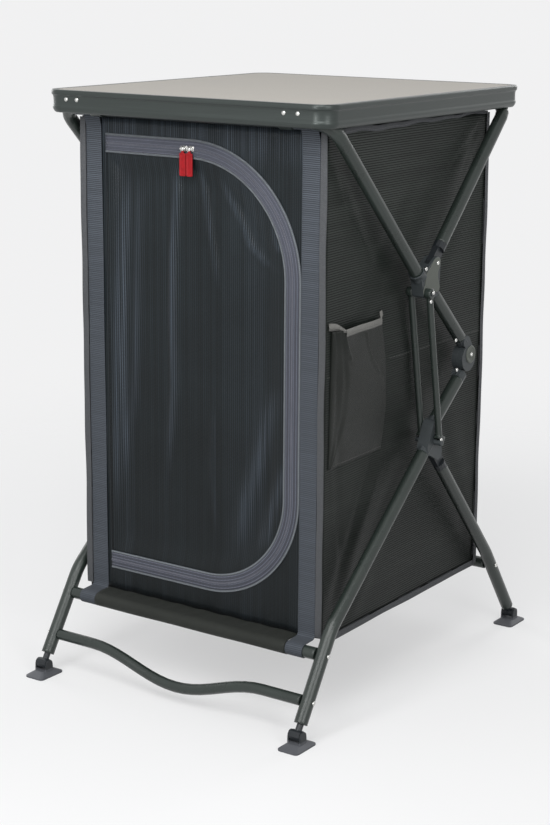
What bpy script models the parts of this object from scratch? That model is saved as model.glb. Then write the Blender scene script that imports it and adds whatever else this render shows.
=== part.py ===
"""Folding camp kitchen cupboard: a fabric cabinet hung in a scissor frame under a rimmed worktop.

Metres, +Z up, the front (door side) faces -Y. The origin is on the ground under the middle.
The side frames lie in two planes, and every pivot of theirs turns about an axis along X.
"""
import bpy
import bmesh
from math import atan2, cos, pi, radians, sin, sqrt, tan
from mathutils import Matrix, Vector

# Driving sizes of the whole
HEIGHT = 1.075
WORKTOP_WIDTH = 0.600
WORKTOP_DEPTH = 0.660
FRAME_INSET = 0.015
FRAME_X = WORKTOP_WIDTH / 2 - FRAME_INSET
BAR_SPREAD = 0.2985
FOOT_SPREAD = 0.381
GAP = 0.0003
OVERRUN = 0.002

# Worktop: board in a hollow concave rim
WORKTOP_CORNER = 0.034
RIM_HEIGHT = 0.040
RIM_WALL = 0.0016
RIM_LIP_WIDTH = 0.012
RIM_LIP_HEIGHT = 0.0012
RIM_WAIST = 0.0046
RIM_TOP_BEAD = 0.008
RIM_BULGE = 0.0026
RIM_BULGE_HEIGHT = 0.011
RIM_FOOT_INSET = 0.0070
RIM_SHELF_WIDTH = 0.0095
BOARD_THICKNESS = 0.014
SADDLE = 0.0025

# Frame tubes
TUBE_R = 0.012
CROSS_R = 0.011
BRACE_R = 0.0100
TOP_BEND_R = 0.0370
LEG_BEND_R = 0.110

# Side linkage: angles from the vertical, lengths along each member
ARM_ANGLE = radians(45.0)
LINK_UP_ANGLE = radians(46.5)
LINK_DOWN_ANGLE = radians(52.6)
LINK_UP_LENGTH = 0.2257
LINK_DOWN_LENGTH = 0.1619
LINK_UP_OFFSET = 0.009
REAR_ARM_OFFSET = 0.044
STRUT_PIN_DROP = 0.0158
STRUT_PIN_ALONG = 0.0083
KNEE_OFFSET = 0.0175
LEG_OFFSET = 0.017
CATCH_ALONG = 0.0145
REAR_LEG_OFFSET = 0.0285
REAR_LEG_ALONG = 0.0183

# Lower legs and feet
BALL_HEIGHT = 0.022
LOWER_LEG = 0.190
FRONT_FOOT_ANGLE = radians(32.4)
REAR_FOOT_ANGLE = radians(35.4)
FRONT_BAR_UP = 0.142
BRACE_UP = 0.059
REAR_BAR_UP = 0.152
LEG_END = 0.020

# Hub castings
HUB_THICKNESS = 0.023
HUB_LOBE_R = 0.0125
HUB_SOCKET_R = 0.0132
ARM_SOCKET = 0.026
LINK_UP_SOCKET = 0.045
LINK_DOWN_SOCKET = 0.022
LEG_SOCKET = 0.0445
SOCKET_STUB = 0.015
TONGUE_THICKNESS = 0.0115
TONGUE_R = 0.0112
TONGUE_LENGTH = 0.030
PLUG_LENGTH = 0.013
FORK_SLOT = 0.0124
FORK_SLOT_R = 0.0165
REAR_ARM_SWING = radians(90.0)
REAR_LEG_SWING = radians(-81.0)
PIVOT_R = 0.004
PIVOT_CLEARANCE = 0.0004

# Knee between the two links
KNEE_DISC_R = 0.0245
KNEE_HALF = 0.0115
KNEE_STUB_START = 0.0248
KNEE_STUB_END = 0.040

# Struts between the hubs
ROD_R = 0.006
ROD_OFFSET = 0.0186
EYE_R = 0.0092
CATCH_PIN_R = 0.005
CATCH_CLEARANCE = 0.0006
CATCH_SLOPE = radians(27.0)
CATCH_ROOF = 0.011
CATCH_WALL = 0.005
CATCH_LIP = 0.004
CATCH_HEIGHT = 0.0085

# Swivelling foot pads
KNUCKLE_R = 0.0095
KNUCKLE_WIDTH = 0.020
NECK_R = 0.0060
EAR_THICKNESS = 0.003
EAR_R = 0.0088
PAD_LENGTH = 0.062
PAD_WIDTH = 0.042
PAD_CORNER = 0.007
PAD_EDGE = 0.003
PAD_RISE = 0.0045
PAD_WAIST_SHARE = 0.70
PAD_TOP_SHARE = 0.50
PAD_PIN_R = 0.003

# Wavy front brace
BRACE_DIP = 0.040
BRACE_FLAT_SHARE = 0.30

# Fabric cabinet
CLOTH_SIDE_INSET = 0.026
CLOTH_FRONT_INSET = 0.024
HEM_DROP = 0.047
CABINET_HALF_WIDTH = FRAME_X - CLOTH_SIDE_INSET
CABINET_HALF_DEPTH = BAR_SPREAD - CLOTH_FRONT_INSET
CABINET_TOP = HEIGHT - HEM_DROP
CLOTH = 0.002
HEM_SHARE = 0.7
SIDE_BOW = 0.006
SIDE_SKIRT = 0.006
HEM_SAG = 0.004
FLOOR_THICKNESS = 0.003
SHELF_HEIGHT = 0.616
SHELF_THICKNESS = 0.006
TAPE_WIDTH = 0.032
TAPE_THICKNESS = 0.0015
TAPE_INSET = 0.027
TAPE_CENTRE = CABINET_HALF_WIDTH - TAPE_INSET
SLEEVE_CLEARANCE = 0.004
SLEEVE_INSET = 0.107
TOP_SLEEVE_HALF = FRAME_X - SLEEVE_INSET

# Zipped door
DOOR_LEFT_INSET = 0.0535
DOOR_RIGHT_INSET = 0.0475
DOOR_TOP_DROP = 0.077
DOOR_LEFT = CABINET_HALF_WIDTH - DOOR_LEFT_INSET
DOOR_RIGHT = CABINET_HALF_WIDTH - DOOR_RIGHT_INSET
DOOR_TOP = HEIGHT - DOOR_TOP_DROP
DOOR_BOTTOM = 0.1985
DOOR_TOP_R = 0.2275
DOOR_BOTTOM_R = 0.195
ZIP_TAPE = 0.0150
SLIDER_SPACING = 0.0145
SLIDER_LENGTH = 0.0110
SLIDER_WIDTH = 0.0085
SLIDER_THICKNESS = 0.003
SLIDER_EAR = 0.0042
SLIDER_EAR_THICKNESS = 0.0014
PULL_WIDTH = 0.0115
PULL_NECK = 0.0052
PULL_LENGTH = 0.046
PULL_THICKNESS = 0.0024
PULL_PIN_R = 0.0009
PULL_KNUCKLE_R = 0.0021

# Side pocket
POCKET_FRONT = 0.246
POCKET_REAR = 0.066
POCKET_ABOVE_SHELF = 0.074
POCKET_BELOW_SHELF = 0.160
POCKET_TOP = SHELF_HEIGHT + POCKET_ABOVE_SHELF
POCKET_BOTTOM = SHELF_HEIGHT - POCKET_BELOW_SHELF
POCKET_DEPTH = 0.0165
POCKET_TAPER = 0.010
POCKET_WALL = 0.002

# Worktop fittings
HOOK_HALF_WIDTH = 0.012
HOOK_INSET = 0.085
HOOK_X = FRAME_X - HOOK_INSET
REST_LENGTH = 0.036
REST_CHEEK = 0.010

ROUND_STEPS = 12
RING_STEPS = 20
CORNER_STEPS = 8
BEND_STEPS = 5
TUBE_RESOLUTION = 4

# Finishes: colour, roughness, metallic
GREY_TUBE = ((0.055, 0.066, 0.062, 1.0), 0.45, 0.6)
HUB_GREY = ((0.125, 0.130, 0.120, 1.0), 0.55, 0.0)
BLACK_PLASTIC = ((0.018, 0.020, 0.024, 1.0), 0.5, 0.0)
RIM_METAL = ((0.085, 0.093, 0.090, 1.0), 0.4, 0.7)
BOARD_TOP = ((0.49, 0.46, 0.42, 1.0), 0.6, 0.0)
DARK_MESH = ((0.028, 0.034, 0.036, 1.0), 0.75, 0.0)
SIDE_CLOTH = ((0.045, 0.050, 0.046, 1.0), 0.8, 0.0)
WEBBING = ((0.105, 0.115, 0.135, 1.0), 0.8, 0.0)
ZIP_GREY = ((0.110, 0.110, 0.135, 1.0), 0.75, 0.0)
BRIGHT_METAL = ((0.60, 0.60, 0.60, 1.0), 0.3, 1.0)
PULL_RED = ((0.42, 0.018, 0.016, 1.0), 0.5, 0.0)


def vec(y, z):
    """A point or direction in a side frame's plane."""
    return Vector((y, z))


def left_of(direction):
    return vec(-direction.y, direction.x)


# Side linkage worked out once: points are (Y, Z) in the side plane
BOARD_TOP_Z = HEIGHT - GAP
BOARD_STEP_Z = HEIGHT - RIM_LIP_HEIGHT - GAP
BOARD_UNDER_Z = BOARD_STEP_Z - BOARD_THICKNESS
BAR_Z = BOARD_UNDER_Z - SADDLE - GAP - GAP - TUBE_R
FRONT_BAR = vec(-BAR_SPREAD, BAR_Z)
REAR_BAR = vec(BAR_SPREAD, BAR_Z)

ARM_DIR = vec(sin(ARM_ANGLE), -cos(ARM_ANGLE))
ARM_NORMAL = left_of(ARM_DIR)
HUB_UP = FRONT_BAR + ARM_DIR * (BAR_SPREAD / sin(ARM_ANGLE))
REAR_ARM_PIVOT = HUB_UP + ARM_NORMAL * REAR_ARM_OFFSET
STRUT_PIVOT = HUB_UP - ARM_NORMAL * STRUT_PIN_DROP + ARM_DIR * STRUT_PIN_ALONG
LINK_UP_START = HUB_UP + ARM_NORMAL * LINK_UP_OFFSET
LINK_UP_DIR = vec(sin(LINK_UP_ANGLE), -cos(LINK_UP_ANGLE))
LINK_UP_FOOT = LINK_UP_START + LINK_UP_DIR * LINK_UP_LENGTH
KNEE = LINK_UP_FOOT - left_of(LINK_UP_DIR) * KNEE_OFFSET
LINK_DOWN_DIR = vec(-sin(LINK_DOWN_ANGLE), -cos(LINK_DOWN_ANGLE))
LINK_DOWN_FOOT = KNEE + left_of(LINK_DOWN_DIR) * KNEE_OFFSET
LINK_DOWN_END = LINK_DOWN_FOOT + LINK_DOWN_DIR * LINK_DOWN_LENGTH
LEG_START = LINK_DOWN_END + left_of(LINK_DOWN_DIR) * LEG_OFFSET

FRONT_BALL = vec(-FOOT_SPREAD, BALL_HEIGHT)
REAR_BALL = vec(FOOT_SPREAD, BALL_HEIGHT)
FRONT_LOWER = vec(sin(FRONT_FOOT_ANGLE), cos(FRONT_FOOT_ANGLE))
REAR_LOWER = vec(-sin(REAR_FOOT_ANGLE), cos(REAR_FOOT_ANGLE))
FRONT_BEND = FRONT_BALL + FRONT_LOWER * LOWER_LEG
REAR_BEND = REAR_BALL + REAR_LOWER * LOWER_LEG
LEG_DIR = (FRONT_BEND - LEG_START).normalized()
LEG_NORMAL = left_of(LEG_DIR)
CATCH_PIN = LEG_START + LEG_DIR * CATCH_ALONG
REAR_LEG_PIVOT = LEG_START + LEG_NORMAL * REAR_LEG_OFFSET + LEG_DIR * REAR_LEG_ALONG
FRONT_CROSSBAR = FRONT_BALL + FRONT_LOWER * FRONT_BAR_UP
BRACE_LINE = FRONT_BALL + FRONT_LOWER * BRACE_UP
REAR_CROSSBAR = REAR_BALL + REAR_LOWER * REAR_BAR_UP
REAR_ARM_DIR = (REAR_BAR - REAR_ARM_PIVOT).normalized()
REAR_LEG_DIR = (REAR_BEND - REAR_LEG_PIVOT).normalized()
STRUT_DIR = (CATCH_PIN - STRUT_PIVOT).normalized()

for old in list(bpy.data.objects):
    bpy.data.objects.remove(old)

SOLIDS = bpy.data.collections.new("camp_kitchen_cupboard")
CUTTERS = bpy.data.collections.new("cutters")
bpy.context.scene.collection.children.link(SOLIDS)
bpy.context.scene.collection.children.link(CUTTERS)


def pivot(name, x, point, parent=None):
    """An empty on a joint's axis, which carries the pieces that turn about it."""
    empty = bpy.data.objects.new("axis_" + name, None)
    empty.location = Vector((x, point.x, point.y)) - (parent["at"] if parent else Vector())
    if parent:
        empty.parent = parent["empty"]
    SOLIDS.objects.link(empty)
    return {"empty": empty, "at": Vector((x, point.x, point.y))}


def finish(obj, look):
    colour, roughness, metallic = look
    material = bpy.data.materials.new(obj.name)
    material.use_nodes = True
    shader = material.node_tree.nodes["Principled BSDF"]
    shader.inputs["Base Color"].default_value = colour
    shader.inputs["Roughness"].default_value = roughness
    shader.inputs["Metallic"].default_value = metallic
    obj.data.materials.clear()
    obj.data.materials.append(material)


def add(name, data, body, look=None):
    """Puts a mesh or curve in world coordinates under its body, with its origin on the body's axis."""
    obj = bpy.data.objects.new(name, data)
    data.transform(Matrix.Translation(-body["at"]))
    obj.parent = body["empty"]
    if look is None:
        CUTTERS.objects.link(obj)
        obj.hide_render = True
        obj.display_type = 'WIRE'
    else:
        SOLIDS.objects.link(obj)
        finish(obj, look)
    return obj


def combine(obj, mesh, body, operation):
    """Cuts a mesh from an object, or joins it on."""
    tool = add(obj.name + "_tool", mesh, body)
    modifier = obj.modifiers.new(operation.lower(), 'BOOLEAN')
    modifier.operation = operation
    modifier.object = tool
    return obj


def smooth(mesh, angle=radians(35.0)):
    mesh.shade_smooth()
    mesh.set_sharp_from_angle(angle=angle)
    return mesh


def weld(mesh):
    shape = bmesh.new()
    shape.from_mesh(mesh)
    bmesh.ops.remove_doubles(shape, verts=shape.verts, dist=GAP * 0.01)
    bmesh.ops.recalc_face_normals(shape, faces=shape.faces)
    shape.to_mesh(mesh)
    shape.free()
    return mesh


def mesh_of_curve(curve):
    """Turns a curve into a closed mesh and drops the curve."""
    holder = bpy.data.objects.new("outline", curve)
    bpy.context.scene.collection.objects.link(holder)
    depsgraph = bpy.context.evaluated_depsgraph_get()
    mesh = bpy.data.meshes.new_from_object(holder.evaluated_get(depsgraph))
    bpy.data.objects.remove(holder)
    bpy.data.curves.remove(curve)
    return weld(mesh)


PLANES = {
    "yz": Matrix(((0, 0, 1, 0), (1, 0, 0, 0), (0, 1, 0, 0), (0, 0, 0, 1))),
    "xz": Matrix(((1, 0, 0, 0), (0, 0, -1, 0), (0, 1, 0, 0), (0, 0, 0, 1))),
    "xy": Matrix.Identity(4),
}


def flat(outlines, low, high, plane):
    """A flat piece: outlines (the outer one, then any holes) extruded from low to high across its plane."""
    curve = bpy.data.curves.new("outline", 'CURVE')
    curve.dimensions = '2D'
    curve.fill_mode = 'BOTH'
    curve.extrude = (high - low) / 2
    for outline in outlines:
        spline = curve.splines.new('POLY')
        spline.points.add(len(outline) - 1)
        for point, place in zip(spline.points, outline):
            point.co = (place[0], place[1], 0, 1)
        spline.use_cyclic_u = True
    mesh = mesh_of_curve(curve)
    mesh.transform(Matrix.Translation((0, 0, (low + high) / 2)))
    if plane == "xz":
        mesh.transform(Matrix.Diagonal((1, 1, -1, 1)))
        mesh.flip_normals()
    mesh.transform(PLANES[plane])
    return smooth(weld(mesh))


def side_plate(outline, x, half):
    return flat([outline], x - half, x + half, "yz")


def tube(points, radius, resolution=TUBE_RESOLUTION):
    """A round tube along a polyline in space."""
    curve = bpy.data.curves.new("tube", 'CURVE')
    curve.dimensions = '3D'
    curve.bevel_depth = radius
    curve.bevel_resolution = resolution
    curve.use_fill_caps = True
    curve.render_resolution_u = 0
    spline = curve.splines.new('POLY')
    spline.points.add(len(points) - 1)
    for point, place in zip(spline.points, points):
        point.co = (*place, 1)
    spline.use_smooth = True
    return curve


def rod(start, end, radius, sides=ROUND_STEPS):
    """A plain cylinder between two points."""
    shape = bmesh.new()
    axis = end - start
    bmesh.ops.create_cone(shape, cap_ends=True, segments=sides, radius1=radius, radius2=radius,
                          depth=axis.length)
    turn = axis.to_track_quat('Z', 'Y').to_matrix().to_4x4()
    shape.transform(Matrix.Translation((start + end) / 2) @ turn)
    mesh = bpy.data.meshes.new("rod")
    shape.to_mesh(mesh)
    shape.free()
    return smooth(mesh)


def box(low, high):
    shape = bmesh.new()
    bmesh.ops.create_cube(shape, size=1.0)
    size = Vector(high) - Vector(low)
    centre = (Vector(high) + Vector(low)) / 2
    shape.transform(Matrix.Translation(centre) @ Matrix.Diagonal((*size, 1)))
    mesh = bpy.data.meshes.new("box")
    shape.to_mesh(mesh)
    shape.free()
    return mesh


def space(x, point):
    return Vector((x, point.x, point.y))


def arc(centre, radius, start, end, steps):
    """Points on an arc in a plane, both ends included."""
    points = []
    for step in range(steps + 1):
        angle = start + (end - start) * step / steps
        points.append(vec(centre.x + radius * cos(angle), centre.y + radius * sin(angle)))
    return points


def fillet(points, radius, steps=BEND_STEPS):
    """A polyline in space with each inner corner rounded to a radius."""
    path = [points[0]]
    for before, corner, after in zip(points, points[1:], points[2:]):
        back = (before - corner).normalized()
        ahead = (after - corner).normalized()
        half = back.angle(ahead) / 2
        reach = radius / tan(half)
        centre = corner + (back + ahead).normalized() * (radius / sin(half))
        begin = corner + back * reach - centre
        finish_at = corner + ahead * reach - centre
        sweep = begin.angle(finish_at)
        for step in range(steps + 1):
            share = step / steps
            path.append(centre + (begin * sin((1 - share) * sweep) + finish_at * sin(share * sweep))
                        / sin(sweep))
    path.append(points[-1])
    return path


def hull_of(circles, steps=ROUND_STEPS):
    """The outline that a belt round several bosses would take."""
    cloud = []
    for centre, radius in circles:
        cloud += arc(centre, radius, 0.0, 2 * pi * (steps - 1) / steps, steps - 1)
    cloud = sorted((round(p.x, 7), round(p.y, 7)) for p in cloud)
    halves = []
    for ordered in (cloud, cloud[::-1]):
        chain = []
        for point in ordered:
            while len(chain) > 1:
                (ax, ay), (bx, by) = chain[-2], chain[-1]
                turn = (bx - ax) * (point[1] - ay) - (by - ay) * (point[0] - ax)
                if turn > 0:
                    break
                chain.pop()
            chain.append(point)
        halves += chain[:-1]
    return [vec(*point) for point in halves]


def ribbon(path, thickness, x_low, x_high):
    """A strip of cloth or sheet metal: a centre line in the side plane, given a thickness and a width."""
    near, far = [], []
    for index, point in enumerate(path):
        before = path[max(index - 1, 0)]
        after = path[min(index + 1, len(path) - 1)]
        normal = left_of((after - before).normalized())
        near.append(point + normal * (thickness / 2))
        far.append(point - normal * (thickness / 2))
    rows = []
    shape = bmesh.new()
    for x in (x_low, x_high):
        rows.append([[shape.verts.new(space(x, point)) for point in edge] for edge in (near, far)])
    (near_low, far_low), (near_high, far_high) = rows
    last = len(path) - 1
    for index in range(last):
        after = index + 1
        shape.faces.new((near_low[index], near_low[after], near_high[after], near_high[index]))
        shape.faces.new((far_low[index], far_high[index], far_high[after], far_low[after]))
        shape.faces.new((near_low[index], far_low[index], far_low[after], near_low[after]))
        shape.faces.new((near_high[index], near_high[after], far_high[after], far_high[index]))
    for index in (0, last):
        shape.faces.new((near_low[index], near_high[index], far_high[index], far_low[index]))
    bmesh.ops.recalc_face_normals(shape, faces=shape.faces)
    mesh = bpy.data.meshes.new("ribbon")
    shape.to_mesh(mesh)
    shape.free()
    return smooth(mesh)


def rounded_rectangle(half_x, half_y, radius, steps=CORNER_STEPS):
    points = []
    for sign_x, sign_y, start in ((1, 1, 0.0), (-1, 1, pi / 2), (-1, -1, pi), (1, -1, 3 * pi / 2)):
        centre = vec(sign_x * (half_x - radius), sign_y * (half_y - radius))
        points += arc(centre, radius, start, start + pi / 2, steps)
    return points


def loft(rings, capped):
    """A skin over rings of equal count: closed by two caps, or else by joining the last ring to the first."""
    shape = bmesh.new()
    loops = [[shape.verts.new(place) for place in ring] for ring in rings]
    pairs = list(zip(loops, loops[1:]))
    if capped:
        shape.faces.new(loops[0])
        shape.faces.new(loops[-1])
    else:
        pairs.append((loops[-1], loops[0]))
    for near, far in pairs:
        for index in range(len(near)):
            after = (index + 1) % len(near)
            shape.faces.new((near[index], near[after], far[after], far[index]))
    bmesh.ops.recalc_face_normals(shape, faces=shape.faces)
    mesh = bpy.data.meshes.new("loft")
    shape.to_mesh(mesh)
    shape.free()
    return mesh


CABINET = pivot("cabinet", 0.0, vec(0.0, 0.0))
DOOR = pivot("door", -DOOR_LEFT, vec(-CABINET_HALF_DEPTH, 0.0), CABINET)
FRONT_LEGS = pivot("front_legs", 0.0, FRONT_CROSSBAR, CABINET)
REAR_LEGS = pivot("rear_legs", 0.0, REAR_LEG_PIVOT, FRONT_LEGS)
FRONT_ARMS = pivot("front_arms", 0.0, KNEE, FRONT_LEGS)
REAR_ARMS = pivot("rear_arms", 0.0, REAR_ARM_PIVOT, FRONT_ARMS)
WORKTOP = pivot("worktop", 0.0, FRONT_BAR, FRONT_ARMS)
SIDES = (("right", 1), ("left", -1))


def u_tube(name, bar, end, body):
    """A tube bent to a U: two side arms and the top bar that the worktop lies on."""
    corners = [space(-FRAME_X, end), space(-FRAME_X, bar), space(FRAME_X, bar), space(FRAME_X, end)]
    add(name, tube(fillet(corners, TOP_BEND_R), TUBE_R), body, GREY_TUBE)


def front_arms():
    u_tube("front_upper_tube", FRONT_BAR, HUB_UP - ARM_DIR * (ARM_SOCKET + GAP), FRONT_ARMS)
    for side, sign in SIDES:
        x = sign * FRAME_X
        link_start = LINK_UP_START + LINK_UP_DIR * (LINK_UP_SOCKET + GAP)
        link_end = LINK_UP_FOOT - LINK_UP_DIR * (KNEE_STUB_END + GAP)
        add("upper_link_" + side, tube([space(x, link_start), space(x, link_end)], TUBE_R),
            FRONT_ARMS, GREY_TUBE)
        upper_hub(side, x)
        knee_half("knee_upper_" + side, x, sign, LINK_UP_FOOT, LINK_UP_DIR, FRONT_ARMS, pin=True)


def upper_hub(side, x):
    """Casting that holds the arm and the upper link, with a fork for the rear arm and the strut pin."""
    arm_end = HUB_UP - ARM_DIR * ARM_SOCKET
    link_end = LINK_UP_START + LINK_UP_DIR * LINK_UP_SOCKET
    lobes = [(REAR_ARM_PIVOT, HUB_LOBE_R), (STRUT_PIVOT, EYE_R),
             (arm_end + ARM_DIR * SOCKET_STUB, HUB_SOCKET_R),
             (link_end - LINK_UP_DIR * SOCKET_STUB, HUB_SOCKET_R)]
    half = HUB_THICKNESS / 2
    hub = add("upper_hub_" + side, side_plate(hull_of(lobes), x, half), FRONT_ARMS, HUB_GREY)
    combine(hub, rod(space(x, arm_end), space(x, HUB_UP), TUBE_R), FRONT_ARMS, 'UNION')
    combine(hub, rod(space(x, link_end), space(x, LINK_UP_START), TUBE_R), FRONT_ARMS, 'UNION')
    fork(hub, x, REAR_ARM_PIVOT, REAR_ARM_DIR, REAR_ARM_SWING, FRONT_ARMS)
    reach = ROD_OFFSET + ROD_R + OVERRUN
    combine(hub, rod(space(x - reach, STRUT_PIVOT), space(x + reach, STRUT_PIVOT), PIVOT_R),
            FRONT_ARMS, 'UNION')


def fork(hub, x, point, way, swing, body):
    """Opens a slot wide enough for a tongue to swing in, and sets the pin across it."""
    room = [(point, FORK_SLOT_R)]
    for turn in (0.0, swing / 2, swing):
        spin = Matrix.Rotation(turn, 2)
        room.append((point + spin @ way * TONGUE_LENGTH, TONGUE_R + OVERRUN / 2))
    combine(hub, side_plate(hull_of(room, 2 * ROUND_STEPS), x, FORK_SLOT / 2), body, 'DIFFERENCE')
    half = HUB_THICKNESS / 2
    combine(hub, rod(space(x - half, point), space(x + half, point), PIVOT_R), body, 'UNION')


def tongue(name, x, point, direction, body):
    """The end plug of a tube: a flat tongue with an eye, and a round shoulder that meets the tube."""
    shoulder = point + direction * TONGUE_LENGTH
    outline = hull_of([(point, TONGUE_R), (shoulder, TONGUE_R)])
    plug = add(name, side_plate(outline, x, TONGUE_THICKNESS / 2), body, BLACK_PLASTIC)
    end = shoulder + direction * PLUG_LENGTH
    combine(plug, rod(space(x, shoulder), space(x, end), TUBE_R), body, 'UNION')
    bore = rod(space(x - HUB_THICKNESS, point), space(x + HUB_THICKNESS, point),
               PIVOT_R + PIVOT_CLEARANCE)
    combine(plug, bore, body, 'DIFFERENCE')
    return end + direction * GAP


def rear_arms():
    end = REAR_ARM_PIVOT + REAR_ARM_DIR * (TONGUE_LENGTH + PLUG_LENGTH + GAP)
    u_tube("rear_upper_tube", REAR_BAR, end, REAR_ARMS)
    for side, sign in SIDES:
        tongue("rear_arm_tongue_" + side, sign * FRAME_X, REAR_ARM_PIVOT, REAR_ARM_DIR, REAR_ARMS)


def knee_half(name, x, sign, foot, direction, body, pin):
    """One half of the knee: a disc on its own side of the joint, a web and a round stub for the link."""
    low, high = (GAP / 2, KNEE_HALF) if pin else (-KNEE_HALF, -GAP / 2)
    stub_start = foot - direction * KNEE_STUB_START
    stub_end = foot - direction * KNEE_STUB_END
    web = hull_of([(foot, TUBE_R / 2), (stub_end + direction * TUBE_R, TUBE_R - GAP)])
    disc = arc(KNEE, KNEE_DISC_R, 0.0, 2 * pi * (1 - 1 / 24), 23)
    span = sorted((x + sign * low, x + sign * high))
    half = add(name, flat([disc], *span, "yz"), body, HUB_GREY if pin else BLACK_PLASTIC)
    combine(half, flat([web], *span, "yz"), body, 'UNION')
    combine(half, rod(space(x, stub_start), space(x, stub_end), TUBE_R), body, 'UNION')
    inner, outer = sorted((x - sign * (KNEE_HALF - GAP), x + sign * KNEE_HALF))
    if pin:
        combine(half, rod(space(inner, KNEE), space(outer, KNEE), PIVOT_R), body, 'UNION')
    else:
        hole = rod(space(x - KNEE_HALF - OVERRUN, KNEE), space(x + KNEE_HALF + OVERRUN, KNEE),
                   PIVOT_R + PIVOT_CLEARANCE)
        combine(half, hole, body, 'DIFFERENCE')


def front_legs():
    for side, sign in SIDES:
        x = sign * FRAME_X
        knee_half("knee_lower_" + side, x, sign, LINK_DOWN_FOOT, -LINK_DOWN_DIR, FRONT_LEGS, pin=False)
        start = LINK_DOWN_FOOT + LINK_DOWN_DIR * (KNEE_STUB_END + GAP)
        end = LINK_DOWN_END - LINK_DOWN_DIR * (LINK_DOWN_SOCKET + GAP)
        add("lower_link_" + side, tube([space(x, start), space(x, end)], TUBE_R), FRONT_LEGS, GREY_TUBE)
        lower_hub(side, x)
        leg_tube("front_leg_" + side, x, LEG_START + LEG_DIR * (LEG_SOCKET + GAP), FRONT_BEND,
                 FRONT_BALL + FRONT_LOWER * LEG_END, FRONT_LEGS)
        foot_knuckle("front_foot_plug_" + side, x, FRONT_BALL, FRONT_LOWER, FRONT_LEGS)
    reach = FRAME_X - TUBE_R - GAP
    add("front_crossbar", tube([space(-reach, FRONT_CROSSBAR), space(reach, FRONT_CROSSBAR)], CROSS_R),
        FRONT_LEGS, GREY_TUBE)
    add("wavy_brace", tube(brace_path(reach), BRACE_R, 3), FRONT_LEGS, GREY_TUBE)


def brace_path(reach, steps=20):
    """The low front brace: level at both ends, with one smooth dip between."""
    flat_part = reach * BRACE_FLAT_SHARE
    points = [space(-reach, BRACE_LINE)]
    for step in range(steps + 1):
        x = (reach - flat_part) * (2 * step / steps - 1)
        dip = BRACE_DIP * (1 + cos(pi * x / (reach - flat_part))) / 2
        points.append(space(x, BRACE_LINE - vec(0.0, dip)))
    points.append(space(reach, BRACE_LINE))
    return points


def lower_hub(side, x):
    """Casting that holds the lower link and the front leg, with a fork for the rear leg and the catch pin."""
    link_end = LINK_DOWN_END - LINK_DOWN_DIR * LINK_DOWN_SOCKET
    leg_end = LEG_START + LEG_DIR * LEG_SOCKET
    lobes = [(REAR_LEG_PIVOT, HUB_LOBE_R), (link_end + LINK_DOWN_DIR * SOCKET_STUB, HUB_SOCKET_R),
             (leg_end - LEG_DIR * SOCKET_STUB, HUB_SOCKET_R)]
    hub = add("lower_hub_" + side, side_plate(hull_of(lobes), x, HUB_THICKNESS / 2), FRONT_LEGS, HUB_GREY)
    combine(hub, rod(space(x, link_end), space(x, LINK_DOWN_END), TUBE_R), FRONT_LEGS, 'UNION')
    combine(hub, rod(space(x, leg_end), space(x, LEG_START), TUBE_R), FRONT_LEGS, 'UNION')
    fork(hub, x, REAR_LEG_PIVOT, REAR_LEG_DIR, REAR_LEG_SWING, FRONT_LEGS)
    reach = ROD_OFFSET + ROD_R + OVERRUN
    combine(hub, rod(space(x - reach, CATCH_PIN), space(x + reach, CATCH_PIN), CATCH_PIN_R),
            FRONT_LEGS, 'UNION')


def leg_tube(name, x, start, bend, end, body):
    path = fillet([space(x, start), space(x, bend), space(x, end)], LEG_BEND_R)
    add(name, tube(path, TUBE_R), body, GREY_TUBE)


def rear_legs():
    start = REAR_LEG_PIVOT + REAR_LEG_DIR * (TONGUE_LENGTH + PLUG_LENGTH + GAP)
    for side, sign in SIDES:
        x = sign * FRAME_X
        tongue("rear_leg_tongue_" + side, x, REAR_LEG_PIVOT, REAR_LEG_DIR, REAR_LEGS)
        leg_tube("rear_leg_" + side, x, start, REAR_BEND, REAR_BALL + REAR_LOWER * LEG_END, REAR_LEGS)
        foot_knuckle("rear_foot_plug_" + side, x, REAR_BALL, REAR_LOWER, REAR_LEGS)
    reach = FRAME_X - TUBE_R - GAP
    add("rear_crossbar", tube([space(-reach, REAR_CROSSBAR), space(reach, REAR_CROSSBAR)], CROSS_R),
        REAR_LEGS, GREY_TUBE)


def foot_knuckle(name, x, ball, direction, body):
    """The plug in a leg's end: a neck down to a knuckle that the pad's pin goes through."""
    half = KNUCKLE_WIDTH / 2
    knuckle = add(name, rod(space(x - half, ball), space(x + half, ball), KNUCKLE_R), body, BLACK_PLASTIC)
    top = ball + direction * (LEG_END - GAP)
    combine(knuckle, rod(space(x, ball), space(x, top), NECK_R), body, 'UNION')
    bore = rod(space(x - KNUCKLE_WIDTH, ball), space(x + KNUCKLE_WIDTH, ball),
               PAD_PIN_R + PIVOT_CLEARANCE)
    combine(knuckle, bore, body, 'DIFFERENCE')


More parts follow.
